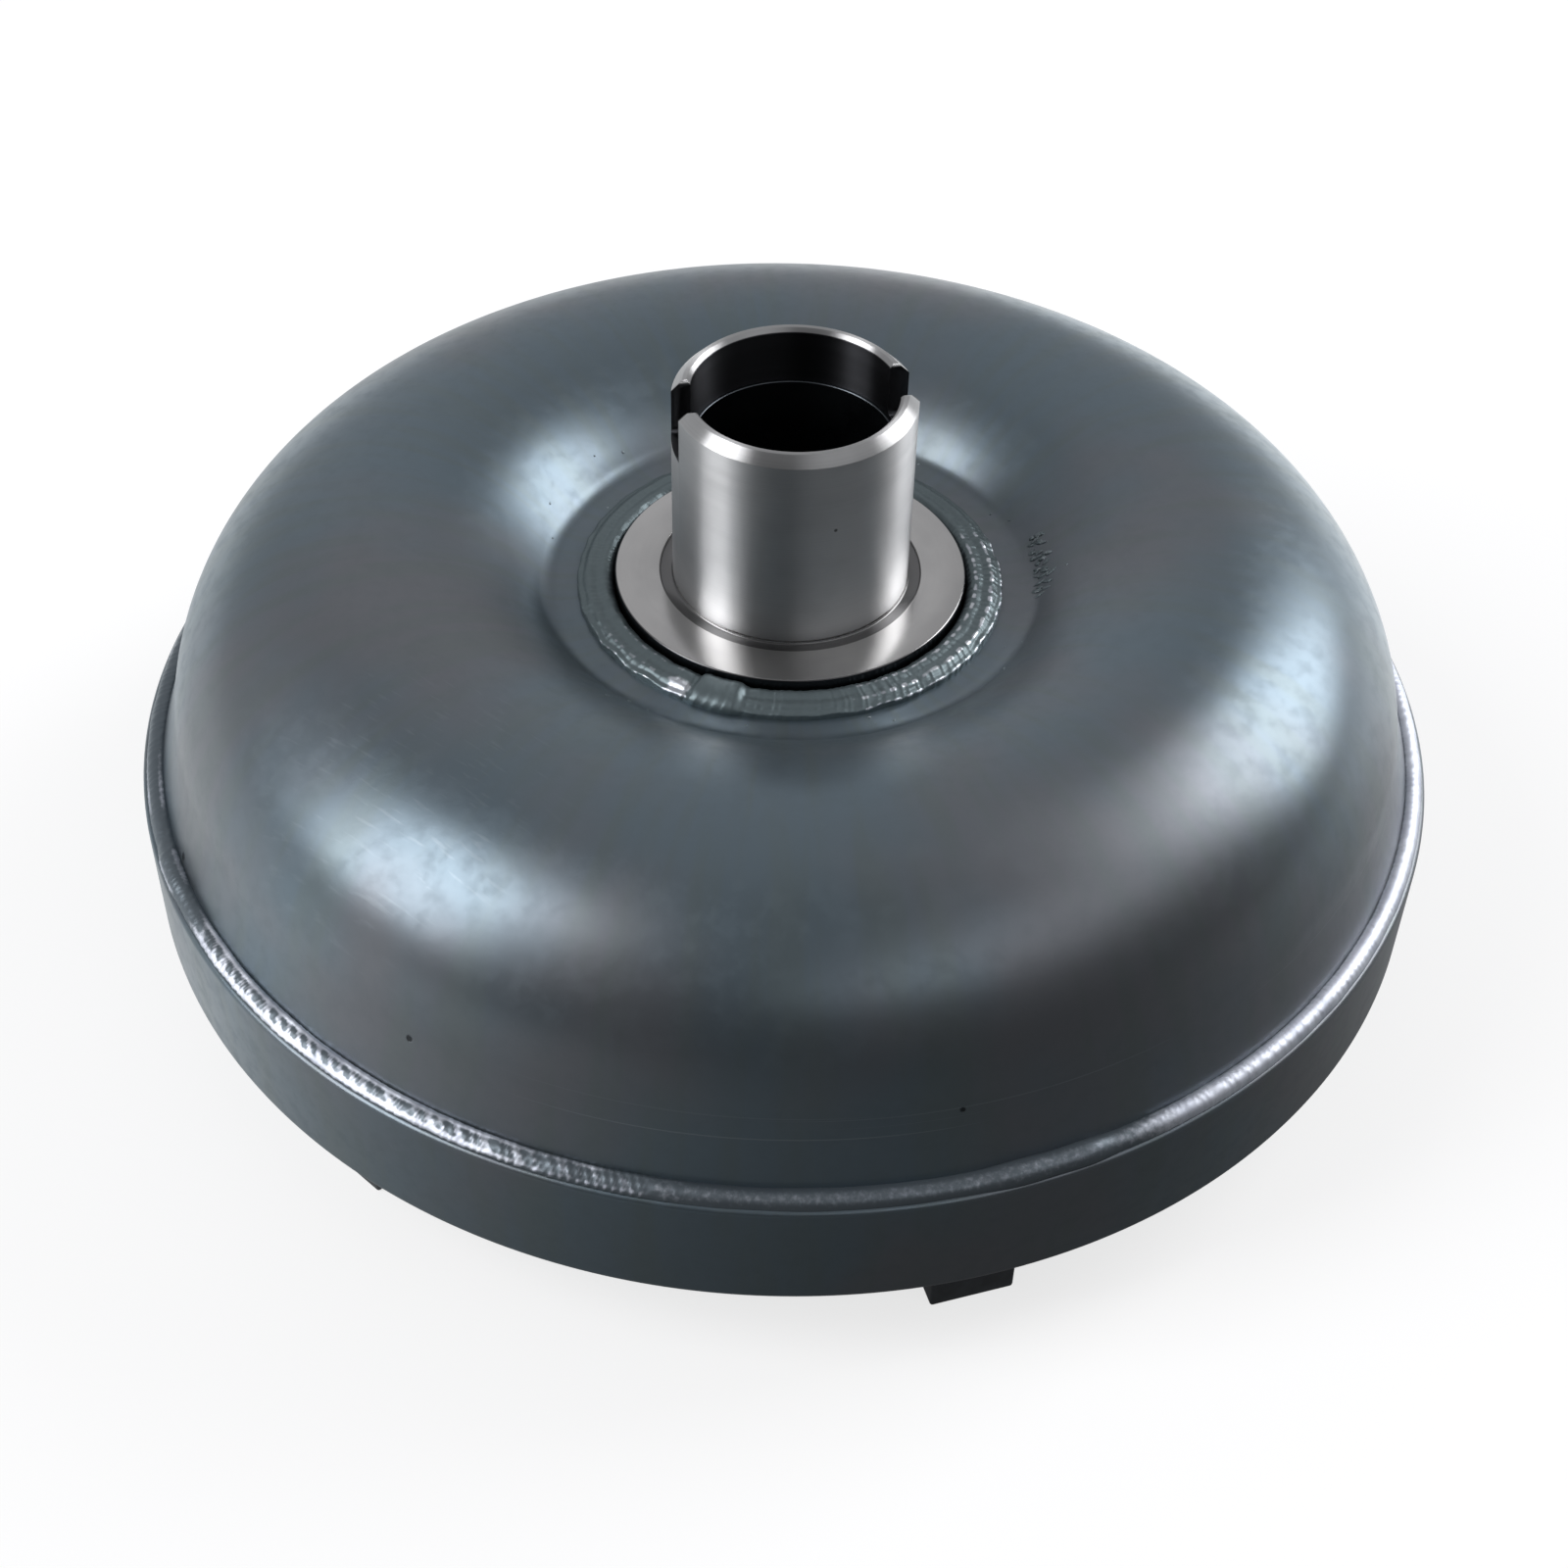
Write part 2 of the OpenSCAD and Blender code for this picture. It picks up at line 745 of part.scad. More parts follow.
impeller_shell();
impeller_blades();
impeller_core_ring();
pump_hub();
hub_bush();
hub_weld();
front_cover();
seam_weld();
pilot_boss();
pilot_weld();
drive_lugs();
lug_welds();
balance_weights();
cover_thrust_washer();
impeller_bearing_race();
turbine_shell();
turbine_blades();
turbine_core_ring();
turbine_hub();
turbine_rivets();
turbine_bearing_race();
turbine_bearing_cage();
turbine_bearing_needles();
stator_wheel();
stator_lower_race();
stator_upper_race();
clutch_cam_ring();
clutch_rollers();
clutch_springs();
clutch_retainer();
clutch_snap_ring();
clutch_inner_race();
impeller_bearing_cage();
impeller_bearing_needles();
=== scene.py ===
"""Looks of the welded torque converter: painted shell and cover, turned hub, weld beads, lugs and studio."""

import json
import math

import bmesh
import bpy
import numpy as np
from mathutils import Matrix, Vector


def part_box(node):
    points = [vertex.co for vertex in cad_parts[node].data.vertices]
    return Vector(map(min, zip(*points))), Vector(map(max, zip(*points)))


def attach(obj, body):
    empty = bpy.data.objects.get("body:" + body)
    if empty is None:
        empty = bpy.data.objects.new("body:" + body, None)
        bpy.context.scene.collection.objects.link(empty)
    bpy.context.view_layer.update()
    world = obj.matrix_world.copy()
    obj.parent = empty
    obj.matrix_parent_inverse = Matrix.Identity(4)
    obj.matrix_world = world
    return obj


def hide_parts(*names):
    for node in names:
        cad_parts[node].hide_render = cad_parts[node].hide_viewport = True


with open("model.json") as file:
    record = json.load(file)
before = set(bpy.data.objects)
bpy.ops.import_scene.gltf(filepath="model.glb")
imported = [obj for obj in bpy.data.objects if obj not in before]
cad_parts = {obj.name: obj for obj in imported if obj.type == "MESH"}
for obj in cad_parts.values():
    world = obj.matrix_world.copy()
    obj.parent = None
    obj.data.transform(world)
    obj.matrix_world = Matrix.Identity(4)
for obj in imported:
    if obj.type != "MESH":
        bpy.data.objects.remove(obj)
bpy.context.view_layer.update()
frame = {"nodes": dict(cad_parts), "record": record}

MM = 0.001
SPIN = 320  # steps round the axis of a turned piece
rng = np.random.RandomState(11)


# ---------------------------------------------------------------- sizes, in millimetres

def low(node):
    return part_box(node)[0] / MM


def high(node):
    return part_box(node)[1] / MM


mounts = {m["name"]: m for m in frame["record"]["mounts"]}

COVER_R = high("front_cover").x
BULGE_Z = low("front_cover").z
SEAM_Z = high("front_cover").z
FACE_Z = high("drive_lugs").z
SHELL_R = 145.9
FLARE_TOE_R = SHELL_R + 4.3
FLARE_TOE_RISE = 1.7  # height of the flare's lower edge above the seam
FLARE_HOLLOW = 0.25  # how far the flare dips between its ends
FLARE_TURN = 8.5  # angle on the flank, in degrees, where the flare leaves it
SKIRT_Z = low("impeller_shell").z
CROWN_Z = high("impeller_shell").z
LAND_Z = low("hub_weld").z
SHELL_WALL = 5.0
COVER_WALL = 6.3
SHELL_BORE_R = SHELL_R - SHELL_WALL
TORUS_R = 96.1
TORUS_H = 46.6
TORUS_Z = CROWN_Z - TORUS_H
FLANK_ARC = 45.0
LAND_FILLET = 7.0

HUB_FOOT_Z = low("pump_hub").z
RIM_Z = high("pump_hub").z
SHOULDER_R = high("pump_hub").x
JOURNAL_R = mounts["hub_journal"]["dims"]["r_mm"]
BUSH_R = mounts["hub_bush_bore"]["dims"]["r_mm"]
HUB_BORE_R = high("hub_bush").x
FLANGE_R = 41.0
FLANGE_Z = LAND_Z + 3.8
UNDERCUT_R = JOURNAL_R + 3.0
SLOT_W = 11.2
SLOT_L = 13.0

PILOT_R = mounts["pilot"]["dims"]["r_mm"]
PILOT_TIP_Z = low("pilot_boss").z
PILOT_SHOULDER_R = high("pilot_boss").x
SPIGOT_R = 15.9

LUG_COUNT = mounts["lug_bolts"]["dims"]["count"]
LUG_BOLT_R = mounts["lug_bolts"]["dims"]["pcd_mm"] / 2
LUG_HOLE_R = mounts["lug_bolts"]["dims"]["hole_r_mm"]
LUG_L = 22.0
LUG_W = 19.4
LUG_REACH = 144.0
LUG_TURN = 37.0
LUG_HOLE_L = 16.0

# Marks on the surfaces, as points in the part's frame
SCRATCHED_PATCH = (-96, -72, 99)
NICKS = (((-97.4, -108.1, 66.9), 1.0), ((10.1, -144.9, 68.3), 0.8), ((-144.6, -36, 55.2), 1.3))
JOURNAL_DENT = (4.6, -27.1, 124.5)
RING_MARKS_Z = 66.5


# ---------------------------------------------------------------- outlines and meshes

def arc(centre_r, centre_z, radius, start, end, steps):
    """Points on an arc, from one angle in degrees to another."""
    return [(centre_r + radius * math.cos(math.radians(a)), centre_z + radius * math.sin(math.radians(a)))
            for a in np.linspace(start, end, steps + 1)]


def rounded(corners, steps=5):
    """Closed outline through (r, z, radius) corners, each one rounded by its own radius."""
    outline = []
    for i, (x, y, radius) in enumerate(corners):
        corner = Vector((x, y))
        before = (Vector(corners[i - 1][:2]) - corner).normalized()
        after = (Vector(corners[(i + 1) % len(corners)][:2]) - corner).normalized()
        if radius == 0:
            outline.append((x, y))
            continue
        half = math.acos(max(-1, min(1, before.dot(after)))) / 2
        centre = corner + (before + after).normalized() * (radius / math.sin(half))
        start = corner + before * (radius / math.tan(half)) - centre
        end = corner + after * (radius / math.tan(half)) - centre
        sweep = math.pi - 2 * half
        for k in range(steps + 1):
            t = k / steps
            point = centre + (start * math.sin((1 - t) * sweep) + end * math.sin(t * sweep)) / math.sin(sweep)
            outline.append((point.x, point.y))
    return outline


def mesh_object(name, verts, faces, sharp=35):
    """A mesh from millimetre points, with its normals outward and shaded smooth up to an angle."""
    mesh = bpy.data.meshes.new(name)
    mesh.from_pydata([(x * MM, y * MM, z * MM) for x, y, z in verts], [], faces)
    work = bmesh.new()
    work.from_mesh(mesh)
    bmesh.ops.recalc_face_normals(work, faces=work.faces)
    work.to_mesh(mesh)
    work.free()
    piece = bpy.data.objects.new(name, mesh)
    bpy.context.scene.collection.objects.link(piece)
    shade(piece, sharp)
    return piece


def shade(piece, sharp):
    piece.data.shade_smooth()
    piece.data.set_sharp_from_angle(angle=math.radians(sharp))


def lathe(name, outline, count=SPIN, sharp=35):
    """A closed outline of (r, z) points turned round the axis. Points on the axis become single poles."""
    verts, ids = [], []
    turns = [2 * math.pi * i / count for i in range(count)]
    for r, z in outline:
        if r < 1e-6:
            ids.append([len(verts)] * count)
            verts.append((0, 0, z))
        else:
            ids.append(list(range(len(verts), len(verts) + count)))
            verts += [(r * math.cos(a), r * math.sin(a), z) for a in turns]
    faces = []
    for here, there in zip(ids, ids[1:] + ids[:1]):
        for i in range(count):
            j = (i + 1) % count
            face = list(dict.fromkeys((here[i], here[j], there[j], there[i])))
            if len(face) > 2:
                faces.append(face)
    return mesh_object(name, verts, faces, sharp)


def prism(name, outline, low_z, high_z):
    """A flat outline of (x, y) points, stretched from one level to another."""
    n = len(outline)
    verts = [(x, y, z) for z in (low_z, high_z) for x, y in outline]
    faces = [list(range(n))[::-1], list(range(n, 2 * n))]
    faces += [[i, (i + 1) % n, n + (i + 1) % n, n + i] for i in range(n)]
    return mesh_object(name, verts, faces)


def applied(piece):
    """The piece with its modifiers made real."""
    bpy.context.view_layer.update()
    final = bpy.data.meshes.new_from_object(piece.evaluated_get(bpy.context.evaluated_depsgraph_get()))
    piece.modifiers.clear()
    piece.data = final
    return piece


def bevel(piece, width, segments=3, angle=30):
    modifier = piece.modifiers.new("edge", "BEVEL")
    modifier.width = width * MM
    modifier.segments = segments
    modifier.angle_limit = math.radians(angle)
    return applied(piece)


def cut_away(piece, cutter):
    modifier = piece.modifiers.new("cut", "BOOLEAN")
    modifier.operation = "DIFFERENCE"
    modifier.solver = "EXACT"
    modifier.object = cutter
    applied(piece)
    bpy.data.objects.remove(cutter)
    return piece


def copies(name, piece, turns):
    """One object holding copies of a piece, turned about the axis by these angles in degrees."""
    work = bmesh.new()
    for turn in turns:
        mesh = piece.data.copy()
        mesh.transform(Matrix.Rotation(math.radians(turn), 4, "Z"))
        work.from_mesh(mesh)
        bpy.data.meshes.remove(mesh)
    mesh = bpy.data.meshes.new(name)
    work.to_mesh(mesh)
    work.free()
    bpy.data.objects.remove(piece)
    result = bpy.data.objects.new(name, mesh)
    bpy.context.scene.collection.objects.link(result)
    return result


def finish_piece(piece, material, slot, *nodes, body="housing"):
    piece.data.materials.clear()
    piece.data.materials.append(material)
    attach(piece, body)
    if nodes:
        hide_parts(*nodes)
    return piece


# ---------------------------------------------------------------- weld beads

def wander(low_wave, high_wave, terms=8):
    """A smooth function of the angle that closes on itself, about -1 to 1."""
    waves = rng.randint(low_wave, high_wave + 1, terms)
    phases = rng.uniform(0, 2 * math.pi, terms)
    return lambda a: sum(np.cos(k * a + p) for k, p in zip(waves, phases)) / math.sqrt(terms)


def window(angle, start, end, soft):
    """1 between two angles in degrees, 0 outside, with soft ends."""
    middle, half = (start + end) / 2, (end - start) / 2
    away = np.abs((angle - middle + 180) % 360 - 180) - half
    return np.clip(0.5 - away / soft, 0, 1) ** 2 * (3 - 2 * np.clip(0.5 - away / soft, 0, 1))


def hump(t, middle, width):
    return np.exp(-(((t - middle) / width) ** 2))


def swept(name, origin, side, rise, radius, angle, back, bare, closed):
    """A bead swept along origin, its section given by radius and angle in the side and rise plane.
    back is the section's hidden points, as (side, rise) steps from the origin."""
    count = len(radius)
    ring = origin[:, None] + radius[..., None] * (
        np.cos(angle)[..., None] * side[:, None] + np.sin(angle)[..., None] * rise[:, None])
    hidden = np.stack([origin + u * side + v * rise for u, v in back], axis=1)
    points = np.concatenate([ring, hidden], axis=1)
    n = points.shape[1]
    faces = []
    for i in range(count if closed else count - 1):
        a, b = i * n, (i + 1) % count * n
        faces += [(a + j, a + (j + 1) % n, b + (j + 1) % n, b + j) for j in range(n)]
    if not closed:
        faces += [list(range(n)), list(range((count - 1) * n, count * n))]
    piece = mesh_object(name, points.reshape(-1, 3).tolist(), faces, 60)
    shown = np.concatenate([np.clip(bare, 0, 1), np.zeros((count, len(back)))], axis=1)
    attribute = piece.data.attributes.new("bare", "FLOAT", "POINT")
    attribute.data.foreach_set("value", shown.reshape(-1).astype(np.float32))
    return piece


def ring_frame(radius, level, count, up=1):
    a = np.linspace(0, 2 * math.pi, count, endpoint=False)
    side = np.stack([np.cos(a), np.sin(a), 0 * a], axis=1)
    rise = np.tile([0.0, 0.0, float(up)], (count, 1))
    origin = side * radius + np.array([0.0, 0.0, level])
    return a, origin, side, rise


def ripple(length, t, pitch, bend, drift):
    """Crescent ripples along a bead, about -1 to 1."""
    phase = 2 * math.pi * (length / pitch + bend * (2 * t - 1) ** 2 + drift)
    return 0.8 * np.cos(phase) + 0.2 * np.cos(2 * phase + 0.9)


def seam_bead():
    """Bead between the belt's upper edge and the shell's flare. t runs from its lower toe to its upper."""
    centre_r, centre_z, back_r = FLARE_TOE_R + 1.05, SEAM_Z - 0.35, 2.85
    a, origin, side, rise = ring_frame(centre_r, centre_z, 3000)
    a = a[:, None]
    degrees = np.degrees(a)
    t = np.linspace(0, 1, 21)[None, :]
    drift = 0.9 * wander(3, 40)(a) + 0.25 * wander(60, 160, 12)(a)
    waves = ripple(a * centre_r, t, 2.6, 0.5, drift + 1.1 * t)
    fine = ripple(a * centre_r, t, 1.1, 0.3, 2 * drift - 1.6 * t)
    coarse = wander(20, 90, 14)(a)
    left = window(degrees, -158, -109, 7)
    right = window(degrees, -70, 8, 9)
    back = window(degrees, 8, 201, 9)
    front = np.clip(1 - left - right - back, 0, 1)
    rims = hump(t, 0.17, 0.11) + hump(t, 0.84, 0.1)
    lively = 0.055 * left + 0.035 * right + 0.05 * back + 0.01 * front
    overlap = window(degrees, -84, -74.6, 3)
    knot = window(degrees, -168, -163, 3)
    restart = window(degrees, 88, 94, 3)
    arch = np.sin(math.pi * t)
    radius = back_r + lively * waves * (0.35 + 0.65 * arch) + 0.5 * lively * fine + 0.05 * coarse
    radius = radius + (0.34 * left + 0.05 * back) * (rims - 0.6) * (1 + 0.3 * wander(30, 120, 14)(a))
    radius = radius + 0.8 * overlap * arch ** 0.6 + (0.8 * knot + 0.5 * restart) * arch
    radius = radius - 0.7 * hump(degrees, -74.5, 0.25) * arch
    toe = 0.06 * (left + 0.3 * back + 0.2 * right) * waves[:, :1]
    start = math.radians(-6) + 0.02 * wander(8, 60, 10)(a) - toe - 0.22 * knot
    end = math.radians(129) + 0.02 * wander(8, 60, 10)(a) + 0.4 * toe + 0.03 * overlap
    angle = start + (end - start) * t
    crest = np.clip(0.5 + 0.5 * waves, 0, 1)
    patchy = np.clip(0.5 + 0.8 * wander(6, 50, 12)(a), 0, 1)
    fading = window(degrees, -122, -104, 12)
    lower_line = hump(t, 0.26, 0.11) * (1 - 0.75 * fading * (1 - crest))
    upper_line = hump(t, 0.8, 0.1) * (1 - 0.8 * fading * (1 - patchy))
    strip = np.clip(lower_line + upper_line, 0, 1)
    streaks = np.clip(0.5 + 0.5 * wander(90, 320, 16)(a + 0.035 * t) + 0.25 * fine, 0, 1)
    bare = left * np.clip(0.8 * strip + 0.65 * streaks * hump(t, 0.53, 0.22), 0, 1) * (1 - 0.35 * fading)
    bare = bare + right * (0.7 + 0.1 * crest) * (0.85 + 0.15 * patchy) * np.clip(6 * arch - 1.2, 0, 1)
    bare = bare + back * patchy * np.clip(strip + 0.2 * crest, 0, 1) * 0.5 + front * 0.3 * arch
    bare = bare + 0.9 * hump(degrees, -161.5, 0.6) * arch + 0.3 * hump(degrees, -75.3, 0.5) * arch
    hidden = [(-1.9, -0.6), (2.2, -0.7)]
    bare = bare * np.ones_like(radius)
    return swept("seam_weld_bead", origin, side, rise, radius, angle, hidden, bare, True)


def hub_bead():
    """Bead round the hub, built up of stringers: t runs from its outer toe to its inner toe."""
    half, height = 4.25, 2.75
    centre_r, centre_z = FLANGE_R + 4.65, LAND_Z - 0.35
    a, origin, side, rise = ring_frame(centre_r, centre_z, 1300)
    a = a[:, None]
    degrees = np.degrees(a)
    t = np.linspace(0, 1, 37)[None, :]
    drift = 0.6 * wander(3, 20)(a) + 0.2 * wander(40, 90, 10)(a)
    waves = ripple(a * centre_r, t, 2.1, 0.9, drift)
    right = window(degrees, -82, 12, 16)
    left = window(degrees, -165, -128, 12)
    sway = 0.012 * wander(6, 30, 10)(a)
    ridges = hump(t + sway, 0.14, 0.045) + 0.9 * hump(t - sway, 0.38, 0.06) + 0.85 * hump(t, 0.66, 0.06)
    grooves = hump(t + sway, 0.25, 0.05) + hump(t - sway, 0.52, 0.05)
    lump = window(degrees, -127, -113.5, 3.5)
    notch = window(degrees, -128.6, -127.2, 1.6)
    far_end = window(degrees, 40, 56, 6)
    arch = np.sin(math.pi * t)
    across = np.cos(math.pi * t)
    up = height * (1 - 0.16 * across) * (1 - np.abs(across) ** 3) ** (1 / 3)
    flat = np.hypot(half * across, up)
    uneven = 1 + 0.4 * wander(10, 60, 12)(a)
    radius = flat + (0.2 * ridges * uneven - 0.22 * grooves) * (1 - lump)
    radius = radius + 0.035 * waves * (1 + right) + 0.07 * wander(12, 50, 12)(a)
    radius = radius + (1.0 * lump + 0.3 * far_end) * arch ** 0.5 - 0.5 * notch * arch
    outer_sway = 0.05 * wander(10, 50, 10)(a) + 0.1 * lump
    inner_sway = 0.08 * wander(14, 60, 10)(a) + 0.04 * waves[:, :1]
    angle = np.arctan2(up, half * across) - outer_sway * (1 - t) ** 2 + inner_sway * t ** 4
    broken = np.clip(0.45 + 0.9 * wander(40, 130, 16)(a), 0, 1)
    ends = hump(degrees, -126.6, 1.1) + hump(degrees, -113.8, 0.9)
    smear = window(degrees, -134, -128.4, 3) * hump(t, 0.3, 0.2)
    bare = (1.1 * right + 0.55 * left) * np.clip(1.3 * ridges - 0.4, 0, 1) * (0.25 + 0.75 * broken)
    bare = bare + 0.12 * broken * np.clip(ridges - 0.5, 0, 1) + 0.95 * smear
    bare = bare * (1 - 0.9 * lump) + 0.8 * ends * arch * np.clip(0.4 + 0.8 * np.cos(9 * t + 1), 0, 1)
    hidden = [(-3.6, 0.0), (3.6, 0.0)]
    bare = bare * np.ones_like(radius)
    return swept("hub_weld_bead", origin, side, rise, radius, angle, hidden, bare, True)


def corner_bead(name, origin, side, rise, leg, length, closed):
    """A fillet bead in the corner between two faces."""
    t = np.linspace(0, 1, 11)[None, :]
    angle = np.radians(2 + 86 * t)
    waves = ripple(length[:, None], t, 1.6, 0.45, 0)
    uneven = 1 + 0.05 * np.cos(length[:, None] * 0.9) + 0.04 * np.cos(length[:, None] * 2.3 + 1)
    radius = leg * (0.6 / (np.cos(angle) + np.sin(angle)) + 0.36) * uneven + 0.09 * waves
    if not closed:
        reach = np.minimum(length, length[-1] - length)[:, None]
        radius = radius * np.clip(reach / leg, 0.0, 1) ** 0.5 * 0.97 + 0.03 * leg
    bare = 0.25 + 0.3 * np.clip(waves, 0, 1) * np.ones_like(radius)
    angle = angle * np.ones_like(radius)
    return swept(name, origin, side, rise, radius, angle, [(-0.3, -0.3)], bare, closed)


# ---------------------------------------------------------------- material nodes

def shader(name):
    material = bpy.data.materials.new(name)
    material.use_nodes = True
    tree = material.node_tree
    tree.nodes.clear()
    output = tree.nodes.new("ShaderNodeOutputMaterial")
    surface = tree.nodes.new("ShaderNodeBsdfPrincipled")
    tree.links.new(surface.outputs[0], output.inputs[0])
    return material, tree, surface


def put(tree, kind, inputs, **settings):
    node = tree.nodes.new("ShaderNode" + kind)
    for key, value in settings.items():
        setattr(node, key, value)
    for key, value in inputs.items():
        if isinstance(value, bpy.types.NodeSocket):
            tree.links.new(value, node.inputs[key])
        else:
            node.inputs[key].default_value = value
    return node


def math_node(tree, operation, a, b=0.0):
    return put(tree, "Math", {0: a, 1: b}, operation=operation).outputs[0]


def place(tree):
    return put(tree, "TexCoord", {}).outputs["Object"]


def cylinder_place(tree):
    """Sockets for the turn about the axis, the radius and the height."""
    split = put(tree, "SeparateXYZ", {0: place(tree)})
    x, y, z = split.outputs
    turn = math_node(tree, "ARCTAN2", y, x)
    radius = math_node(tree, "SQRT", math_node(
        tree, "ADD", math_node(tree, "MULTIPLY", x, x), math_node(tree, "MULTIPLY", y, y)))
    return turn, radius, z


def noise(tree, scale, detail=3.0, roughness=0.5, vector=None):
    return put(tree, "TexNoise", {"Vector": vector or place(tree), "Scale": scale, "Detail": detail,
                                  "Roughness": roughness}).outputs["Fac"]


def strokes(tree, degrees, along, across):
    """Noise drawn out along a direction in the XY plane."""
    spun = put(tree, "VectorRotate", {"Vector": place(tree), "Angle": math.radians(-degrees)},
               rotation_type="Z_AXIS")
    scaled = put(tree, "VectorMath", {0: spun.outputs[0], 1: (along, across, along)}, operation="MULTIPLY")
    return noise(tree, 1.0, 2, 0.45, scaled.outputs[0])


def stretched(tree, a, b, c):
    return put(tree, "CombineXYZ", {0: a, 1: b, 2: c}).outputs[0]


def ramp(tree, value, start, end, low_out=0.0, high_out=1.0):
    return put(tree, "MapRange", {0: value, 1: start, 2: end, 3: low_out, 4: high_out},
               interpolation_type="SMOOTHSTEP").outputs[0]


def blend(tree, share, a, b):
    return put(tree, "Mix", {0: share, 6: a, 7: b}, data_type="RGBA").outputs[2]


def mixed(tree, share, a, b):
    return put(tree, "Mix", {0: share, 2: a, 3: b}, data_type="FLOAT").outputs[0]


def rgb(r, g, b):
    return (r, g, b, 1.0)


def bump(tree, surface, layers):
    """Chains (height, distance in millimetres) layers into the surface's normal."""
    normal = None
    for height, distance in layers:
        inputs = {"Height": height, "Distance": distance * MM, "Strength": 1.0}
        if normal is not None:
            inputs["Normal"] = normal
        normal = put(tree, "Bump", inputs).outputs[0]
    tree.links.new(normal, surface.inputs["Normal"])


def near(tree, spot, outer, inner):
    """1 within inner millimetres of a point, falling to 0 at outer."""
    away = put(tree, "VectorMath", {0: place(tree), 1: tuple(v * MM for v in spot)}, operation="DISTANCE")
    return ramp(tree, away.outputs["Value"], outer * MM, inner * MM)


def gunmetal(name, tint=1.0):
    """Satin gunmetal paint, clouded teal and brown, with faint scratches, and a few small dented spots
    coloured near black as painted shade.
    """
    material, tree, surface = shader(name)
    turn, radius, z = cylinder_place(tree)
    cloud = ramp(tree, noise(tree, 11, 3, 0.55), 0.4, 0.62)
    green = ramp(tree, noise(tree, 19, 2, 0.5, stretched(tree, turn, radius, z)), 0.42, 0.68)
    mottle = noise(tree, 240, 4, 0.6)
    # tint scales all four colours; below 1 it paints shade onto the whole piece.
    teal, grey, moss, shade_tone = (rgb(*[tint * c for c in tone]) for tone in (
        (0.152, 0.196, 0.228), (0.178, 0.188, 0.205), (0.152, 0.184, 0.18), (0.1, 0.125, 0.14)))
    colour = blend(tree, cloud, teal, grey)
    colour = blend(tree, math_node(tree, "MULTIPLY", green, 0.4), colour, moss)
    colour = blend(tree, ramp(tree, mottle, 0.35, 0.75, 0.0, 0.12), colour, shade_tone)
    hatch = ramp(tree, strokes(tree, -50, 130, 1000), 0.58, 0.75)
    hatch = math_node(tree, "MULTIPLY", hatch, near(tree, SCRATCHED_PATCH, 46, 20))
    level = stretched(tree, math_node(tree, "MULTIPLY", turn, 0.9), 0.0, math_node(tree, "MULTIPLY", z, 1500))
    lines = ramp(tree, noise(tree, 1.0, 1, 0.4, level), 0.68, 0.76)
    off_level = math_node(tree, "ABSOLUTE", math_node(tree, "SUBTRACT", z, RING_MARKS_Z * MM))
    near_seam = ramp(tree, off_level, 0.0045, 0.0015)
    lines = math_node(tree, "MULTIPLY", lines, near_seam)
    marks = math_node(tree, "MAXIMUM", math_node(tree, "MULTIPLY", hatch, 0.4), lines)
    colour = blend(tree, math_node(tree, "MULTIPLY", marks, 0.4), colour, rgb(0.32, 0.36, 0.385))
    # Painted shade: each nicked spot is coloured near black for the shade inside it, as well as dented by the
    # bump below.
    nick_dents_and_shade = None
    for spot, size in NICKS:
        one = near(tree, spot, size, 0.5 * size)
        nick_dents_and_shade = one if nick_dents_and_shade is None else math_node(tree, "MAXIMUM", nick_dents_and_shade, one)
    colour = blend(tree, math_node(tree, "MULTIPLY", nick_dents_and_shade, 0.85), colour, rgb(0.02, 0.022, 0.025))
    tree.links.new(colour, surface.inputs["Base Color"])
    surface.inputs["Metallic"].default_value = 0.8
    rough = mixed(tree, cloud, 0.31, 0.35)
    rough = mixed(tree, ramp(tree, mottle, 0.4, 0.7), rough, 0.38)
    tree.links.new(rough, surface.inputs["Roughness"])
    bump(tree, surface, [(noise(tree, 28, 2, 0.4), 0.3), (noise(tree, 700, 3, 0.5), 0.01), (marks, 0.008),
                         (nick_dents_and_shade, -0.15)])
    return material


def weld_metal(name, painted, bright, rough_painted, rough_bright):
    """Weld bead: paint with bright metal where the mesh says it is bare."""
    material, tree, surface = shader(name)
    bare = put(tree, "Attribute", {}, attribute_name="bare").outputs["Fac"]
    grain = noise(tree, 900, 4, 0.6)
    share = ramp(tree, math_node(tree, "ADD", bare, math_node(tree, "MULTIPLY", math_node(
        tree, "SUBTRACT", grain, 0.5), 0.5)), 0.22, 0.7)
    stain = ramp(tree, noise(tree, 120, 3, 0.5), 0.4, 0.7)
    metal = blend(tree, math_node(tree, "MULTIPLY", stain, 0.5), bright, rgb(0.4, 0.43, 0.52))
    tree.links.new(blend(tree, share, painted, metal), surface.inputs["Base Color"])
    tree.links.new(mixed(tree, share, 0.7, 1.0), surface.inputs["Metallic"])
    tree.links.new(mixed(tree, share, rough_painted, rough_bright), surface.inputs["Roughness"])
    bump(tree, surface, [(noise(tree, 420, 3, 0.5), 0.05), (grain, 0.012)])
    return material


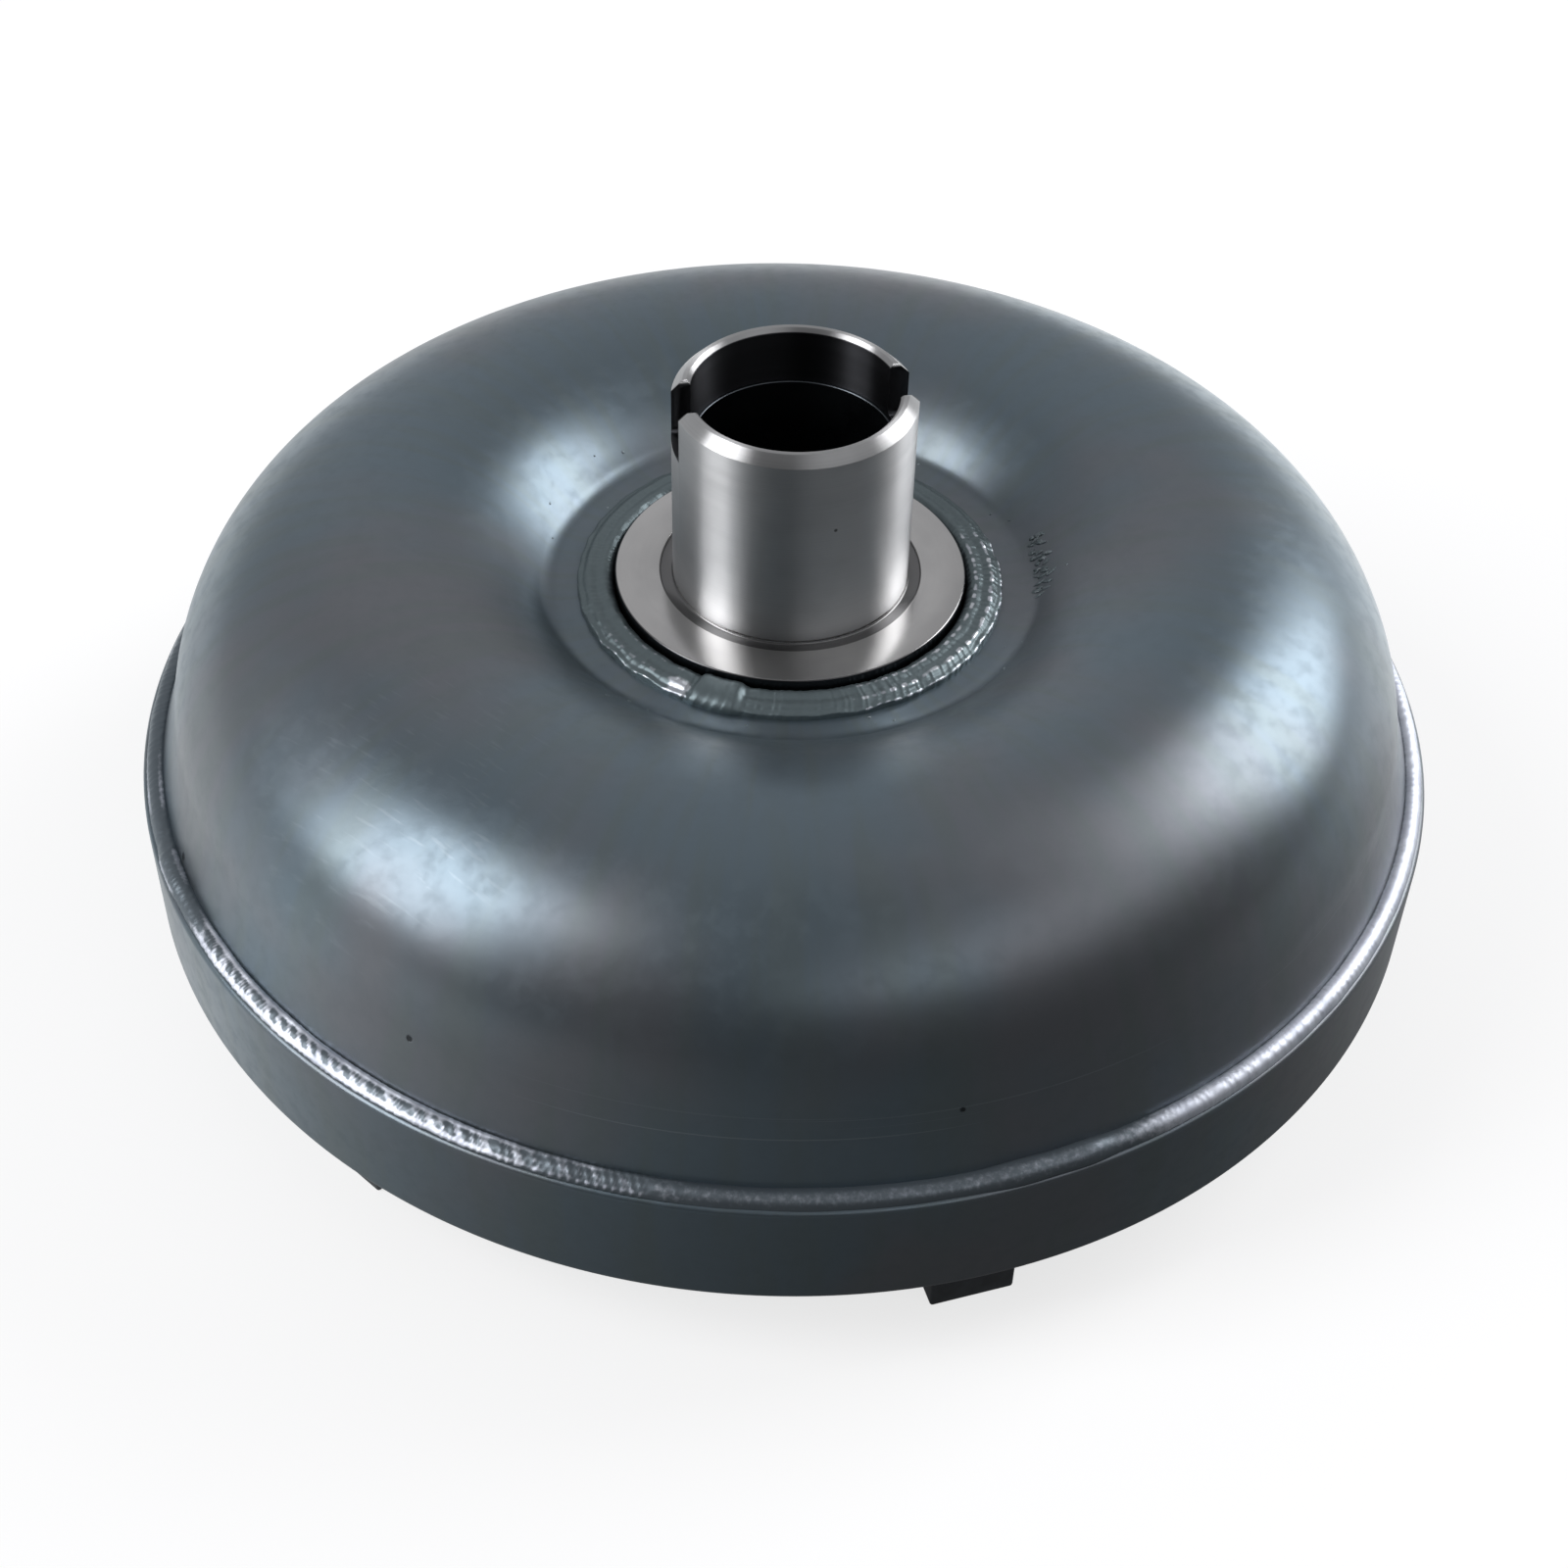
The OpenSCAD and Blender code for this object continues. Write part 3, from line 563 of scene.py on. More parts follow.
def turned(name, colour, warm, rough, directional, ring_depth):
    """Turned steel: fine rings about the axis. Painted shade darkens the hole through the hub, the slot walls
    and the undercut; the flange's outer wall and the gap under it are dark from paint and painted shade.
    """
    material, tree, surface = shader(name)
    turn, radius, z = cylinder_place(tree)
    y = put(tree, "SeparateXYZ", {0: place(tree)}).outputs[1]
    along = math_node(tree, "ADD", math_node(tree, "MULTIPLY", radius, 1.37), z)
    fine, bands = (put(tree, "TexNoise", {"W": along, "Scale": scale, "Detail": detail},
                       noise_dimensions="1D").outputs["Fac"]
                   for scale, detail in ((5200.0, 3.0), (420.0, 2.0)))
    smear = noise(tree, 1.0, 2, 0.5, stretched(
        tree, math_node(tree, "MULTIPLY", turn, 2.2), math_node(tree, "MULTIPLY", along, 90), 0.0))
    face = ramp(tree, z, (FLANGE_Z + 0.6) * MM, (FLANGE_Z + 0.1) * MM)
    tone = blend(tree, face, colour, warm)
    tone = blend(tree, ramp(tree, smear, 0.35, 0.75, 0.0, 0.25), tone, rgb(*[0.66 * c for c in colour[:3]]))
    tone = blend(tree, ramp(tree, fine, 0.45, 0.8, 0.0, 0.2), tone, rgb(*[0.55 * c for c in colour[:3]]))
    # Painted shade: the hole through the hub, the slot walls and the undercut are coloured near black where
    # shade falls; the flange's outer wall and the gap under it are dark from paint and painted shade.
    bore_shade = ramp(tree, radius, (HUB_BORE_R + 0.25) * MM, (HUB_BORE_R + 0.1) * MM)
    side = ramp(tree, radius, (FLANGE_R - 0.5) * MM, (FLANGE_R - 0.1) * MM)
    slot = ramp(tree, math_node(tree, "ABSOLUTE", y), (SLOT_W / 2 + 0.5) * MM, (SLOT_W / 2 + 0.1) * MM)
    slot_floor_z = RIM_Z - SLOT_L
    above_floor = ramp(tree, z, (slot_floor_z - 0.5) * MM, (slot_floor_z - 0.1) * MM)
    below_rim = ramp(tree, z, (RIM_Z - 0.1) * MM, (RIM_Z - 0.4) * MM)
    slot = math_node(tree, "MULTIPLY", math_node(tree, "MULTIPLY", slot, above_floor), below_rim)
    below_face = ramp(tree, z, (FLANGE_Z - 0.2) * MM, (FLANGE_Z - 0.4) * MM)
    in_undercut = ramp(tree, radius, (UNDERCUT_R + 0.2) * MM, (UNDERCUT_R - 0.1) * MM)
    undercut_shade = math_node(tree, "MULTIPLY", math_node(tree, "MULTIPLY", below_face, in_undercut), 0.75)
    dark = math_node(tree, "MAXIMUM", math_node(tree, "MAXIMUM", bore_shade, side), math_node(
        tree, "MAXIMUM", slot, undercut_shade))
    # Painted shade: the masks above pull the colour to near black.
    tone = blend(tree, dark, tone, rgb(0.045, 0.046, 0.05))
    # Painted shade: a small spot on the journal is coloured darker to stand for the shade of a dented spot;
    # neither the mesh nor the bump is dented there.
    dent_shade = near(tree, JOURNAL_DENT, 0.55, 0.25)
    tone = blend(tree, dent_shade, tone, rgb(0.15, 0.15, 0.15))
    tree.links.new(tone, surface.inputs["Base Color"])
    surface.inputs["Metallic"].default_value = 1.0
    barrel = mixed(tree, bands, rough - 0.03, rough + 0.03)
    tree.links.new(mixed(tree, face, barrel, 0.22), surface.inputs["Roughness"])
    tree.links.new(mixed(tree, face, directional, 0.4), surface.inputs["Anisotropic"])
    surface.inputs["Anisotropic Rotation"].default_value = 0.25
    tangent = put(tree, "Tangent", {}, direction_type="RADIAL", axis="Z").outputs[0]
    tree.links.new(tangent, surface.inputs["Tangent"])
    bump(tree, surface, [(bands, 0.002), (fine, ring_depth)])
    return material


def plain_metal(name, colour, dark, rough, grain_scale, grain_depth):
    """Metal with stains and a fine grain, for the pieces inside."""
    material, tree, surface = shader(name)
    stain = ramp(tree, noise(tree, 45, 4, 0.55), 0.35, 0.7)
    grain = noise(tree, grain_scale, 3, 0.55)
    tone = blend(tree, math_node(tree, "MULTIPLY", stain, 0.6), colour, dark)
    tone = blend(tree, ramp(tree, grain, 0.5, 0.8, 0.0, 0.3), tone, dark)
    tree.links.new(tone, surface.inputs["Base Color"])
    surface.inputs["Metallic"].default_value = 1.0
    tree.links.new(mixed(tree, stain, rough, rough + 0.12), surface.inputs["Roughness"])
    bump(tree, surface, [(grain, grain_depth)])
    return material


def lug_metal(name):
    """Dark painted block whose mounting face is machined bare."""
    material, tree, surface = shader(name)
    z = cylinder_place(tree)[2]
    worn = math_node(tree, "ADD", z, math_node(tree, "MULTIPLY", noise(tree, 300, 3, 0.5), 0.0008))
    machined = ramp(tree, worn, 0.0011, 0.0006)
    mottle = ramp(tree, noise(tree, 180, 4, 0.6), 0.35, 0.7)
    streak = strokes(tree, 35, 60, 1800)
    paint = blend(tree, mottle, rgb(0.085, 0.092, 0.102), rgb(0.06, 0.064, 0.07))
    steel = blend(tree, ramp(tree, streak, 0.4, 0.7), rgb(0.52, 0.52, 0.53), rgb(0.36, 0.36, 0.37))
    tree.links.new(blend(tree, machined, paint, steel), surface.inputs["Base Color"])
    tree.links.new(mixed(tree, machined, 0.6, 1.0), surface.inputs["Metallic"])
    tree.links.new(mixed(tree, machined, 0.42, 0.3), surface.inputs["Roughness"])
    bump(tree, surface, [(noise(tree, 500, 3, 0.5), 0.02), (streak, 0.003)])
    return material


PAINT = gunmetal("gunmetal_paint")
# Painted shade: the cover gets the same paint with every colour 5 % darker, so its belt reads darker than the
# shell.
SHADED_COVER_PAINT = gunmetal("shaded_cover_paint", 0.95)
PAINTED_WELD = weld_metal("painted_weld", rgb(0.135, 0.17, 0.18), rgb(0.66, 0.69, 0.73), 0.4, 0.36)
BRIGHT_WELD = weld_metal("bright_weld", rgb(0.13, 0.155, 0.175), rgb(0.68, 0.71, 0.78), 0.42, 0.5)
LUG = lug_metal("lug_steel")
TURNED = turned("turned_steel", rgb(0.6, 0.6, 0.6), rgb(0.62, 0.61, 0.6), 0.35, 1.0, 0.0006)
BUSH = plain_metal("bush_steel", rgb(0.12, 0.135, 0.15), rgb(0.07, 0.075, 0.08), 0.24, 900, 0.002)
BRONZE = plain_metal("bearing_bronze", rgb(0.58, 0.4, 0.2), rgb(0.36, 0.23, 0.1), 0.34, 900, 0.008)
PRESSED = plain_metal("pressed_steel", rgb(0.36, 0.36, 0.365), rgb(0.2, 0.195, 0.19), 0.34, 500, 0.012)
HARDENED = plain_metal("hardened_steel", rgb(0.5, 0.5, 0.515), rgb(0.33, 0.33, 0.35), 0.2, 1400, 0.003)
CAST = plain_metal("cast_alloy", rgb(0.6, 0.61, 0.62), rgb(0.42, 0.425, 0.43), 0.45, 1100, 0.03)


# ---------------------------------------------------------------- shell and cover

half_w = SHELL_R - TORUS_R
crown_arc = ((half_w - FLANK_ARC) ** 2 + TORUS_H ** 2 - FLANK_ARC ** 2) / (2 * (TORUS_H - FLANK_ARC))
shift = half_w - FLANK_ARC
drop = crown_arc - TORUS_H
join = math.degrees(math.atan2(drop, shift))


def oval(inset, first, last):
    """The shell's three arcs, from an angle on the outer flank to one on the inner flank."""
    points = arc(TORUS_R + shift, TORUS_Z, FLANK_ARC - inset, first, join, 18)
    points += arc(TORUS_R, TORUS_Z - drop, crown_arc - inset, join, 180 - join, 30)[1:]
    return points + arc(TORUS_R - shift, TORUS_Z, FLANK_ARC - inset, 180 - join, last, 10)[1:]


fillet_z = LAND_Z + LAND_FILLET
fillet_r = TORUS_R - shift - math.sqrt((FLANK_ARC + LAND_FILLET) ** 2 - (fillet_z - TORUS_Z) ** 2)
fillet_turn = math.degrees(math.atan2(fillet_z - TORUS_Z, TORUS_R - shift - fillet_r))
floor_turn = 180 - math.degrees(math.asin((LAND_Z - SHELL_WALL - TORUS_Z) / (FLANK_ARC - SHELL_WALL)))



def flare_outline():
    """A slightly hollow cone from the seam bead up to the shell's flank."""
    steps = 6
    top_r, top_z = arc(TORUS_R + shift, TORUS_Z, FLANK_ARC, FLARE_TURN, 90, 1)[0]
    toe_r, toe_z = FLARE_TOE_R - 0.1, SEAM_Z + FLARE_TOE_RISE
    points = [(toe_r, toe_z)]
    for k in range(1, steps):
        share = k / steps
        dip = FLARE_HOLLOW * math.sin(math.pi * share)
        points.append((toe_r + (top_r - toe_r) * share - dip, toe_z + (top_z - toe_z) * share))
    return points


shell_outline = [(SHELL_R, SKIRT_Z), (SHELL_R, SEAM_Z + 0.1), (FLARE_TOE_R, SEAM_Z + 0.1)]
shell_outline += flare_outline() + oval(0, FLARE_TURN, 180 - fillet_turn)
shell_outline += arc(fillet_r, fillet_z, LAND_FILLET, -fillet_turn, -90, 8)[1:]
shell_outline += [(SHOULDER_R + 0.1, LAND_Z), (SHOULDER_R + 0.1, LAND_Z - SHELL_WALL)]
shell_outline += oval(SHELL_WALL, 0, floor_turn)[::-1] + [(SHELL_BORE_R, SKIRT_Z)]
shell = lathe("impeller_shell_pressing", shell_outline, 360, 50)
finish_piece(shell, PAINT, "gunmetal_paint", "impeller_shell")

inner_z = FACE_Z + COVER_WALL
lip_z = SKIRT_Z - 0.1
bulge_r, slope = 56.0, FACE_Z - BULGE_Z
slant = COVER_WALL * math.tan(math.radians(22.5))
cover_outline = rounded([
    (SPIGOT_R + 0.1, BULGE_Z, 0.4), (bulge_r, BULGE_Z, 5), (bulge_r + slope, FACE_Z, 5),
    (COVER_R, FACE_Z, 2.3), (COVER_R, SEAM_Z, 1.3), (SHELL_R + 0.1, SEAM_Z, 0.3),
    (SHELL_R + 0.1, lip_z, 0.3), (SHELL_BORE_R, lip_z, 0.3), (SHELL_BORE_R, inner_z, 4),
    (bulge_r + slope - slant, inner_z, 5), (bulge_r - slant, BULGE_Z + COVER_WALL, 5),
    (SPIGOT_R + 0.1, BULGE_Z + COVER_WALL, 0.4)], 7)
cover = lathe("front_cover_pressing", cover_outline, 360, 50)
finish_piece(cover, SHADED_COVER_PAINT, "gunmetal_paint", "front_cover")


# ---------------------------------------------------------------- pump hub and bush

UNDERCUT_Z = FLANGE_Z - 0.6
GAP_Z = LAND_Z - 0.6
RIM_CHAMFER = 2.3
BORE_CHAMFER = 1.0
hub = lathe("pump_hub_turning", rounded([
    (HUB_BORE_R, HUB_FOOT_Z, 0.5), (SHOULDER_R, HUB_FOOT_Z, 0.5), (SHOULDER_R, GAP_Z, 0.4),
    (FLANGE_R, GAP_Z, 0.3), (FLANGE_R, FLANGE_Z, 0.5), (UNDERCUT_R, FLANGE_Z, 0.25),
    (UNDERCUT_R, UNDERCUT_Z, 0.3), (JOURNAL_R, UNDERCUT_Z, 0.6), (JOURNAL_R, RIM_Z - RIM_CHAMFER, 0.3),
    (JOURNAL_R - RIM_CHAMFER, RIM_Z, 0.2), (HUB_BORE_R + BORE_CHAMFER, RIM_Z, 0.2),
    (HUB_BORE_R, RIM_Z - BORE_CHAMFER, 0.2)], 3), 288)


def slot_cutter():
    """Through both walls along X: round floor corners, and mouth corners that flare out."""
    floor_r, mouth_r, half = 1.5, 1.2, SLOT_W / 2
    floor_z = RIM_Z - SLOT_L
    mouth_z = RIM_Z - mouth_r
    right = arc(half - floor_r, floor_z + floor_r, floor_r, -90, 0, 6)
    right += arc(half + mouth_r, mouth_z, mouth_r, 180, 90, 6)
    right += [(half + mouth_r, RIM_Z + 2)]
    outline = right + [(-y, z) for y, z in right[::-1]]
    reach = JOURNAL_R + 4
    n = len(outline)
    verts = [(x, y, z) for x in (-reach, reach) for y, z in outline]
    faces = [list(range(n)), list(range(n, 2 * n))[::-1]]
    faces += [[i, n + i, n + (i + 1) % n, (i + 1) % n] for i in range(n)]
    return mesh_object("slot_cutter", verts, faces)


cut_away(hub, slot_cutter())
bevel(hub, 0.25, 2, 50)
shade(hub, 40)
finish_piece(hub, TURNED, "turned_steel", "pump_hub")

bush_low, bush_high = low("hub_bush").z, high("hub_bush").z
bush = lathe("hub_bush_sleeve", rounded([
    (BUSH_R, bush_low, 0.3), (HUB_BORE_R, bush_low, 0.15), (HUB_BORE_R, bush_high, 0.15),
    (BUSH_R, bush_high, 0.35)], 4), 256)
finish_piece(bush, BUSH, "bush_steel", "hub_bush")


# ---------------------------------------------------------------- pilot, lugs and weights

SHOULDER_Z = BULGE_Z - 3.7
pilot_top_z = high("pilot_boss").z
pilot = lathe("pilot_turning", rounded([
    (0, PILOT_TIP_Z + 5, 0), (5, PILOT_TIP_Z, 0.3), (PILOT_R - 1.5, PILOT_TIP_Z, 0.3),
    (PILOT_R, PILOT_TIP_Z + 1.5, 0.3), (PILOT_R, SHOULDER_Z, 0.3), (PILOT_SHOULDER_R, SHOULDER_Z, 0.5),
    (PILOT_SHOULDER_R, BULGE_Z, 0.2), (SPIGOT_R, BULGE_Z, 0.2), (SPIGOT_R, pilot_top_z, 0.5),
    (0, pilot_top_z, 0)], 4), 256)
finish_piece(pilot, TURNED, "turned_steel", "pilot_boss")

turn, origin, side, rise = ring_frame(PILOT_SHOULDER_R, BULGE_Z, 720, -1)
pilot_bead = corner_bead("pilot_weld_bead", origin, side, rise, 3.4, turn * PILOT_SHOULDER_R, True)
finish_piece(pilot_bead, PAINTED_WELD, "painted_weld", "pilot_weld")


def thread_cutter():
    """A tapped hole from below, with its thread grooves and a drilled point."""
    pitch, depth = 1.5, 0.7
    outline = [(0, -1), (LUG_HOLE_R + 2, -1), (LUG_HOLE_R + 1.1, 0), (LUG_HOLE_R, 1.1)]
    for i in range(int((LUG_HOLE_L - 4) / pitch)):
        z = 1.3 + i * pitch
        outline += [(LUG_HOLE_R, z), (LUG_HOLE_R + depth, z + pitch / 2)]
    outline += [(LUG_HOLE_R, LUG_HOLE_L), (0, LUG_HOLE_L + 2)]
    cutter = lathe("thread_cutter", outline, 48)
    cutter.data.transform(Matrix.Translation((LUG_BOLT_R * MM, 0, 0)))
    return cutter


lug_in = LUG_REACH - LUG_L
lug = prism("lug", [(lug_in, -LUG_W / 2), (LUG_REACH, -LUG_W / 2), (LUG_REACH, LUG_W / 2),
                    (lug_in, LUG_W / 2)], 0, FACE_Z)
bevel(lug, 0.7, 3)
cut_away(lug, thread_cutter())
shade(lug, 35)
lug_turns = [LUG_TURN + i * 360 / LUG_COUNT for i in range(LUG_COUNT)]
finish_piece(copies("drive_lug_blocks", lug, lug_turns), LUG, "lug_steel", "drive_lugs")


def lug_bead(end):
    """The fillet on one long side of a lug."""
    along = np.linspace(lug_in + 1, LUG_REACH - 1, 90)
    origin = np.stack([along, 0 * along + end * LUG_W / 2, 0 * along + FACE_Z], axis=1)
    side = np.tile([0.0, float(end), 0.0], (len(along), 1))
    rise = np.tile([0.0, 0.0, -1.0], (len(along), 1))
    return corner_bead("lug_bead", origin, side, rise, 3.9, along - along[0], False)


for end, label in ((-1, "right"), (1, "left")):
    beads = copies(f"lug_weld_beads_{label}", lug_bead(end), lug_turns)
    finish_piece(beads, PAINTED_WELD, "painted_weld", "lug_welds")


def balance_plate():
    """A small plate with rounded corners, clipped to the cover's face."""
    inner, outer, half_turn = 128.0, 142.0, 4.5
    outline = arc(0, 0, outer, -half_turn, half_turn, 10) + arc(0, 0, inner, half_turn, -half_turn, 10)
    plate = prism("balance_plate", outline, low("balance_weights").z, FACE_Z)
    return bevel(plate, 0.6, 3)


plates = copies("balance_plates", balance_plate(), [LUG_TURN + 90, LUG_TURN + 150])
shade(plates, 35)
finish_piece(plates, PRESSED, "pressed_steel", "balance_weights")


# ---------------------------------------------------------------- weld beads and spatter

finish_piece(seam_bead(), BRIGHT_WELD, "bright_weld", "seam_weld")
finish_piece(hub_bead(), PAINTED_WELD, "painted_weld", "hub_weld")


def shell_point(radius, degrees):
    """The point and outward direction on the shell's upper side at a radius and an angle."""
    points = [p for p in shell_outline[:90] if p[1] > TORUS_Z]
    best = min(range(1, len(points) - 1), key=lambda i: abs(points[i][0] - radius))
    (r0, z0), (r1, z1) = points[best - 1], points[best + 1]
    share = 0 if r0 == r1 else min(1, max(0, (radius - r0) / (r1 - r0)))
    out = Vector((z1 - z0, 0, r0 - r1)).normalized()
    spot = Vector((radius, 0, z0 + share * (z1 - z0)))
    spin = Matrix.Rotation(math.radians(degrees), 3, "Z")
    return spin @ spot, spin @ (out if out.z > 0 else -out)


def drops(name, spots):
    """Small flattened lumps, each given as (radius, degrees, size, length, twist)."""
    work = bmesh.new()
    for radius, degrees, size, length, twist in spots:
        spot, out = shell_point(radius, degrees)
        lump = bmesh.ops.create_icosphere(work, subdivisions=2, radius=1)["verts"]
        for v in lump:
            v.co *= 1 + 0.12 * math.sin(7 * v.co.x + 5 * v.co.y + degrees)
        turn = out.to_track_quat("Z", "Y").to_matrix() @ Matrix.Rotation(twist, 3, "Z")
        frame_matrix = Matrix.Translation(spot * MM) @ turn.to_4x4() @ Matrix.Diagonal(
            (length * MM, size * MM, 0.55 * size * MM, 1))
        bmesh.ops.transform(work, matrix=frame_matrix, verts=lump)
    mesh = bpy.data.meshes.new(name)
    work.to_mesh(mesh)
    work.free()
    piece = bpy.data.objects.new(name, mesh)
    bpy.context.scene.collection.objects.link(piece)
    shade(piece, 60)
    attribute = mesh.attributes.new("bare", "FLOAT", "POINT")
    attribute.data.foreach_set("value", np.full(len(mesh.vertices), 0.3, np.float32))
    return piece


spots = [(rng.uniform(51, 66), rng.uniform(-180, 180), s, s * rng.uniform(1, 1.5), rng.uniform(0, 3))
         for s in rng.uniform(0.15, 0.38, 34)]
scar = [(59.4 + 1.2 * math.sin(i * 1.7) + 0.5 * math.sin(i * 0.6), 3.5 - i * 0.62, rng.uniform(0.35, 0.7),
         rng.uniform(0.8, 1.9), rng.uniform(0.9, 1.9)) for i in range(34)]
finish_piece(drops("weld_spatter", spots + scar), PAINTED_WELD, "painted_weld")


# ---------------------------------------------------------------- pieces kept from the frame

KEPT = {
    PRESSED: ["impeller_blades", "impeller_core_ring", "turbine_shell", "turbine_blades",
              "turbine_core_ring", "clutch_retainer"],
    HARDENED: ["impeller_bearing_race", "turbine_hub", "turbine_rivets", "turbine_bearing_race",
               "turbine_bearing_needles", "impeller_bearing_needles", "stator_lower_race",
               "stator_upper_race", "clutch_cam_ring", "clutch_rollers", "clutch_springs",
               "clutch_snap_ring", "clutch_inner_race"],
    BRONZE: ["cover_thrust_washer", "turbine_bearing_cage", "impeller_bearing_cage"],
    CAST: ["stator_wheel"],
}
for material, names in KEPT.items():
    for name in names:
        node = frame["nodes"][name]
        node.data.materials.clear()
        node.data.materials.append(material)


# ---------------------------------------------------------------- studio

def facing(eye, target, roll=0.0):
    """A rotation that looks from the eye to the target."""
    turn = (Vector(target) - Vector(eye)).to_track_quat("-Z", "Y").to_matrix().to_4x4()
    return Matrix.Translation(eye) @ turn @ Matrix.Rotation(roll, 4, "Z")


def softbox(name, azimuth, elevation, distance, width, height, brightness, tint=(1, 1, 1)):
    """An area light seen from the object at an azimuth from -Y towards +X, in degrees."""
    a, e = math.radians(azimuth), math.radians(elevation)
    middle = Vector((0, 0, 0.08))
    eye = middle + distance * Vector((math.sin(a) * math.cos(e), -math.cos(a) * math.cos(e), math.sin(e)))
    data = bpy.data.lights.new(name, "AREA")
    data.shape = "RECTANGLE"
    data.size, data.size_y = width, height
    data.energy = brightness * math.pi * width * height
    data.color = tint
    lamp = bpy.data.objects.new(name, data)
    lamp.matrix_world = facing(eye, middle)
    bpy.context.scene.collection.objects.link(lamp)


softbox("left_softbox", -83, 37, 2.5, 1.2, 1.85, 5.7, (0.98, 0.98, 1.0))
softbox("right_softbox", 107, 31, 2.5, 1.3, 1.6, 5.5, (0.98, 0.98, 1.0))


FRONT = (math.sin(math.radians(12)), -math.cos(math.radians(12)))


def room_side(tree, x, y):
    """1 towards the dark front of the studio, -1 towards its bright back; and the distance from the axis."""
    y_squared = math_node(tree, "ADD", math_node(tree, "MULTIPLY", y, y), 1e-6)
    away = math_node(tree, "SQRT", math_node(tree, "ADD", math_node(tree, "MULTIPLY", x, x), y_squared))
    ahead = math_node(tree, "ADD", math_node(tree, "MULTIPLY", x, FRONT[0]), math_node(
        tree, "MULTIPLY", y, FRONT[1]))
    return math_node(tree, "DIVIDE", ahead, away), away


def floor_material():
    """Near white to the camera; in reflections and the light it throws, a glow that is dark in front of the
    object and bright behind it, with a painted contact shadow close to the object.
    """
    material = bpy.data.materials.new("studio_floor")
    material.use_nodes = True
    tree = material.node_tree
    tree.nodes.clear()
    output = tree.nodes.new("ShaderNodeOutputMaterial")
    x, y = put(tree, "SeparateXYZ", {0: place(tree)}).outputs[:2]
    front, away = room_side(tree, x, y)
    lit = put(tree, "MapRange", {0: front, 1: 1.0, 2: 0.05, 3: 0.0, 4: 1.0}).outputs[0]
    lit = math_node(tree, "ADD", 0.13, math_node(tree, "MULTIPLY", 0.87, math_node(tree, "POWER", lit, 1.6)))
    rightward = math_node(tree, "ADD", math_node(tree, "MULTIPLY", x, 0.766), math_node(
        tree, "MULTIPLY", y, 0.643))
    far_right = math_node(tree, "DIVIDE", rightward, away)
    lit = math_node(tree, "ADD", lit, ramp(tree, far_right, 0.7, 0.97, 0.0, 0.6))
    # Painted shadow: the glow falls to 0.8 within 0.12 m of the axis, as contact shadow under the object.
    lit = math_node(tree, "MULTIPLY", lit, ramp(tree, away, 0.12, 0.24, 0.8, 1.0))
    distant = math_node(tree, "MULTIPLY", ramp(tree, away, 0.3, 0.6), ramp(tree, front, 0.4, 0.9))
    kept = math_node(tree, "SUBTRACT", 1.0, math_node(tree, "MULTIPLY", distant, 0.3))
    lit = math_node(tree, "MULTIPLY", lit, kept)
    mirrored = put(tree, "Emission", {"Color": rgb(0.95, 0.98, 1), "Strength": lit}).outputs[0]
    pale = put(tree, "BsdfDiffuse", {"Color": rgb(0.3, 0.3, 0.3)}).outputs[0]
    glow = put(tree, "Emission", {"Color": rgb(1, 1, 1), "Strength": 0.74}).outputs[0]
    seen = put(tree, "AddShader", {0: pale, 1: glow}).outputs[0]
    path = put(tree, "LightPath", {}).outputs["Is Camera Ray"]
    tree.links.new(put(tree, "MixShader", {0: path, 1: mirrored, 2: seen}).outputs[0], output.inputs[0])
    return material


floor_mesh = bpy.data.meshes.new("studio_floor")
floor_mesh.from_pydata([(-9, -9, 0), (9, -9, 0), (9, 9, 0), (-9, 9, 0)], [], [(0, 1, 2, 3)])
floor_mesh.materials.append(floor_material())
floor = bpy.data.objects.new("studio_floor", floor_mesh)
bpy.context.scene.collection.objects.link(floor)


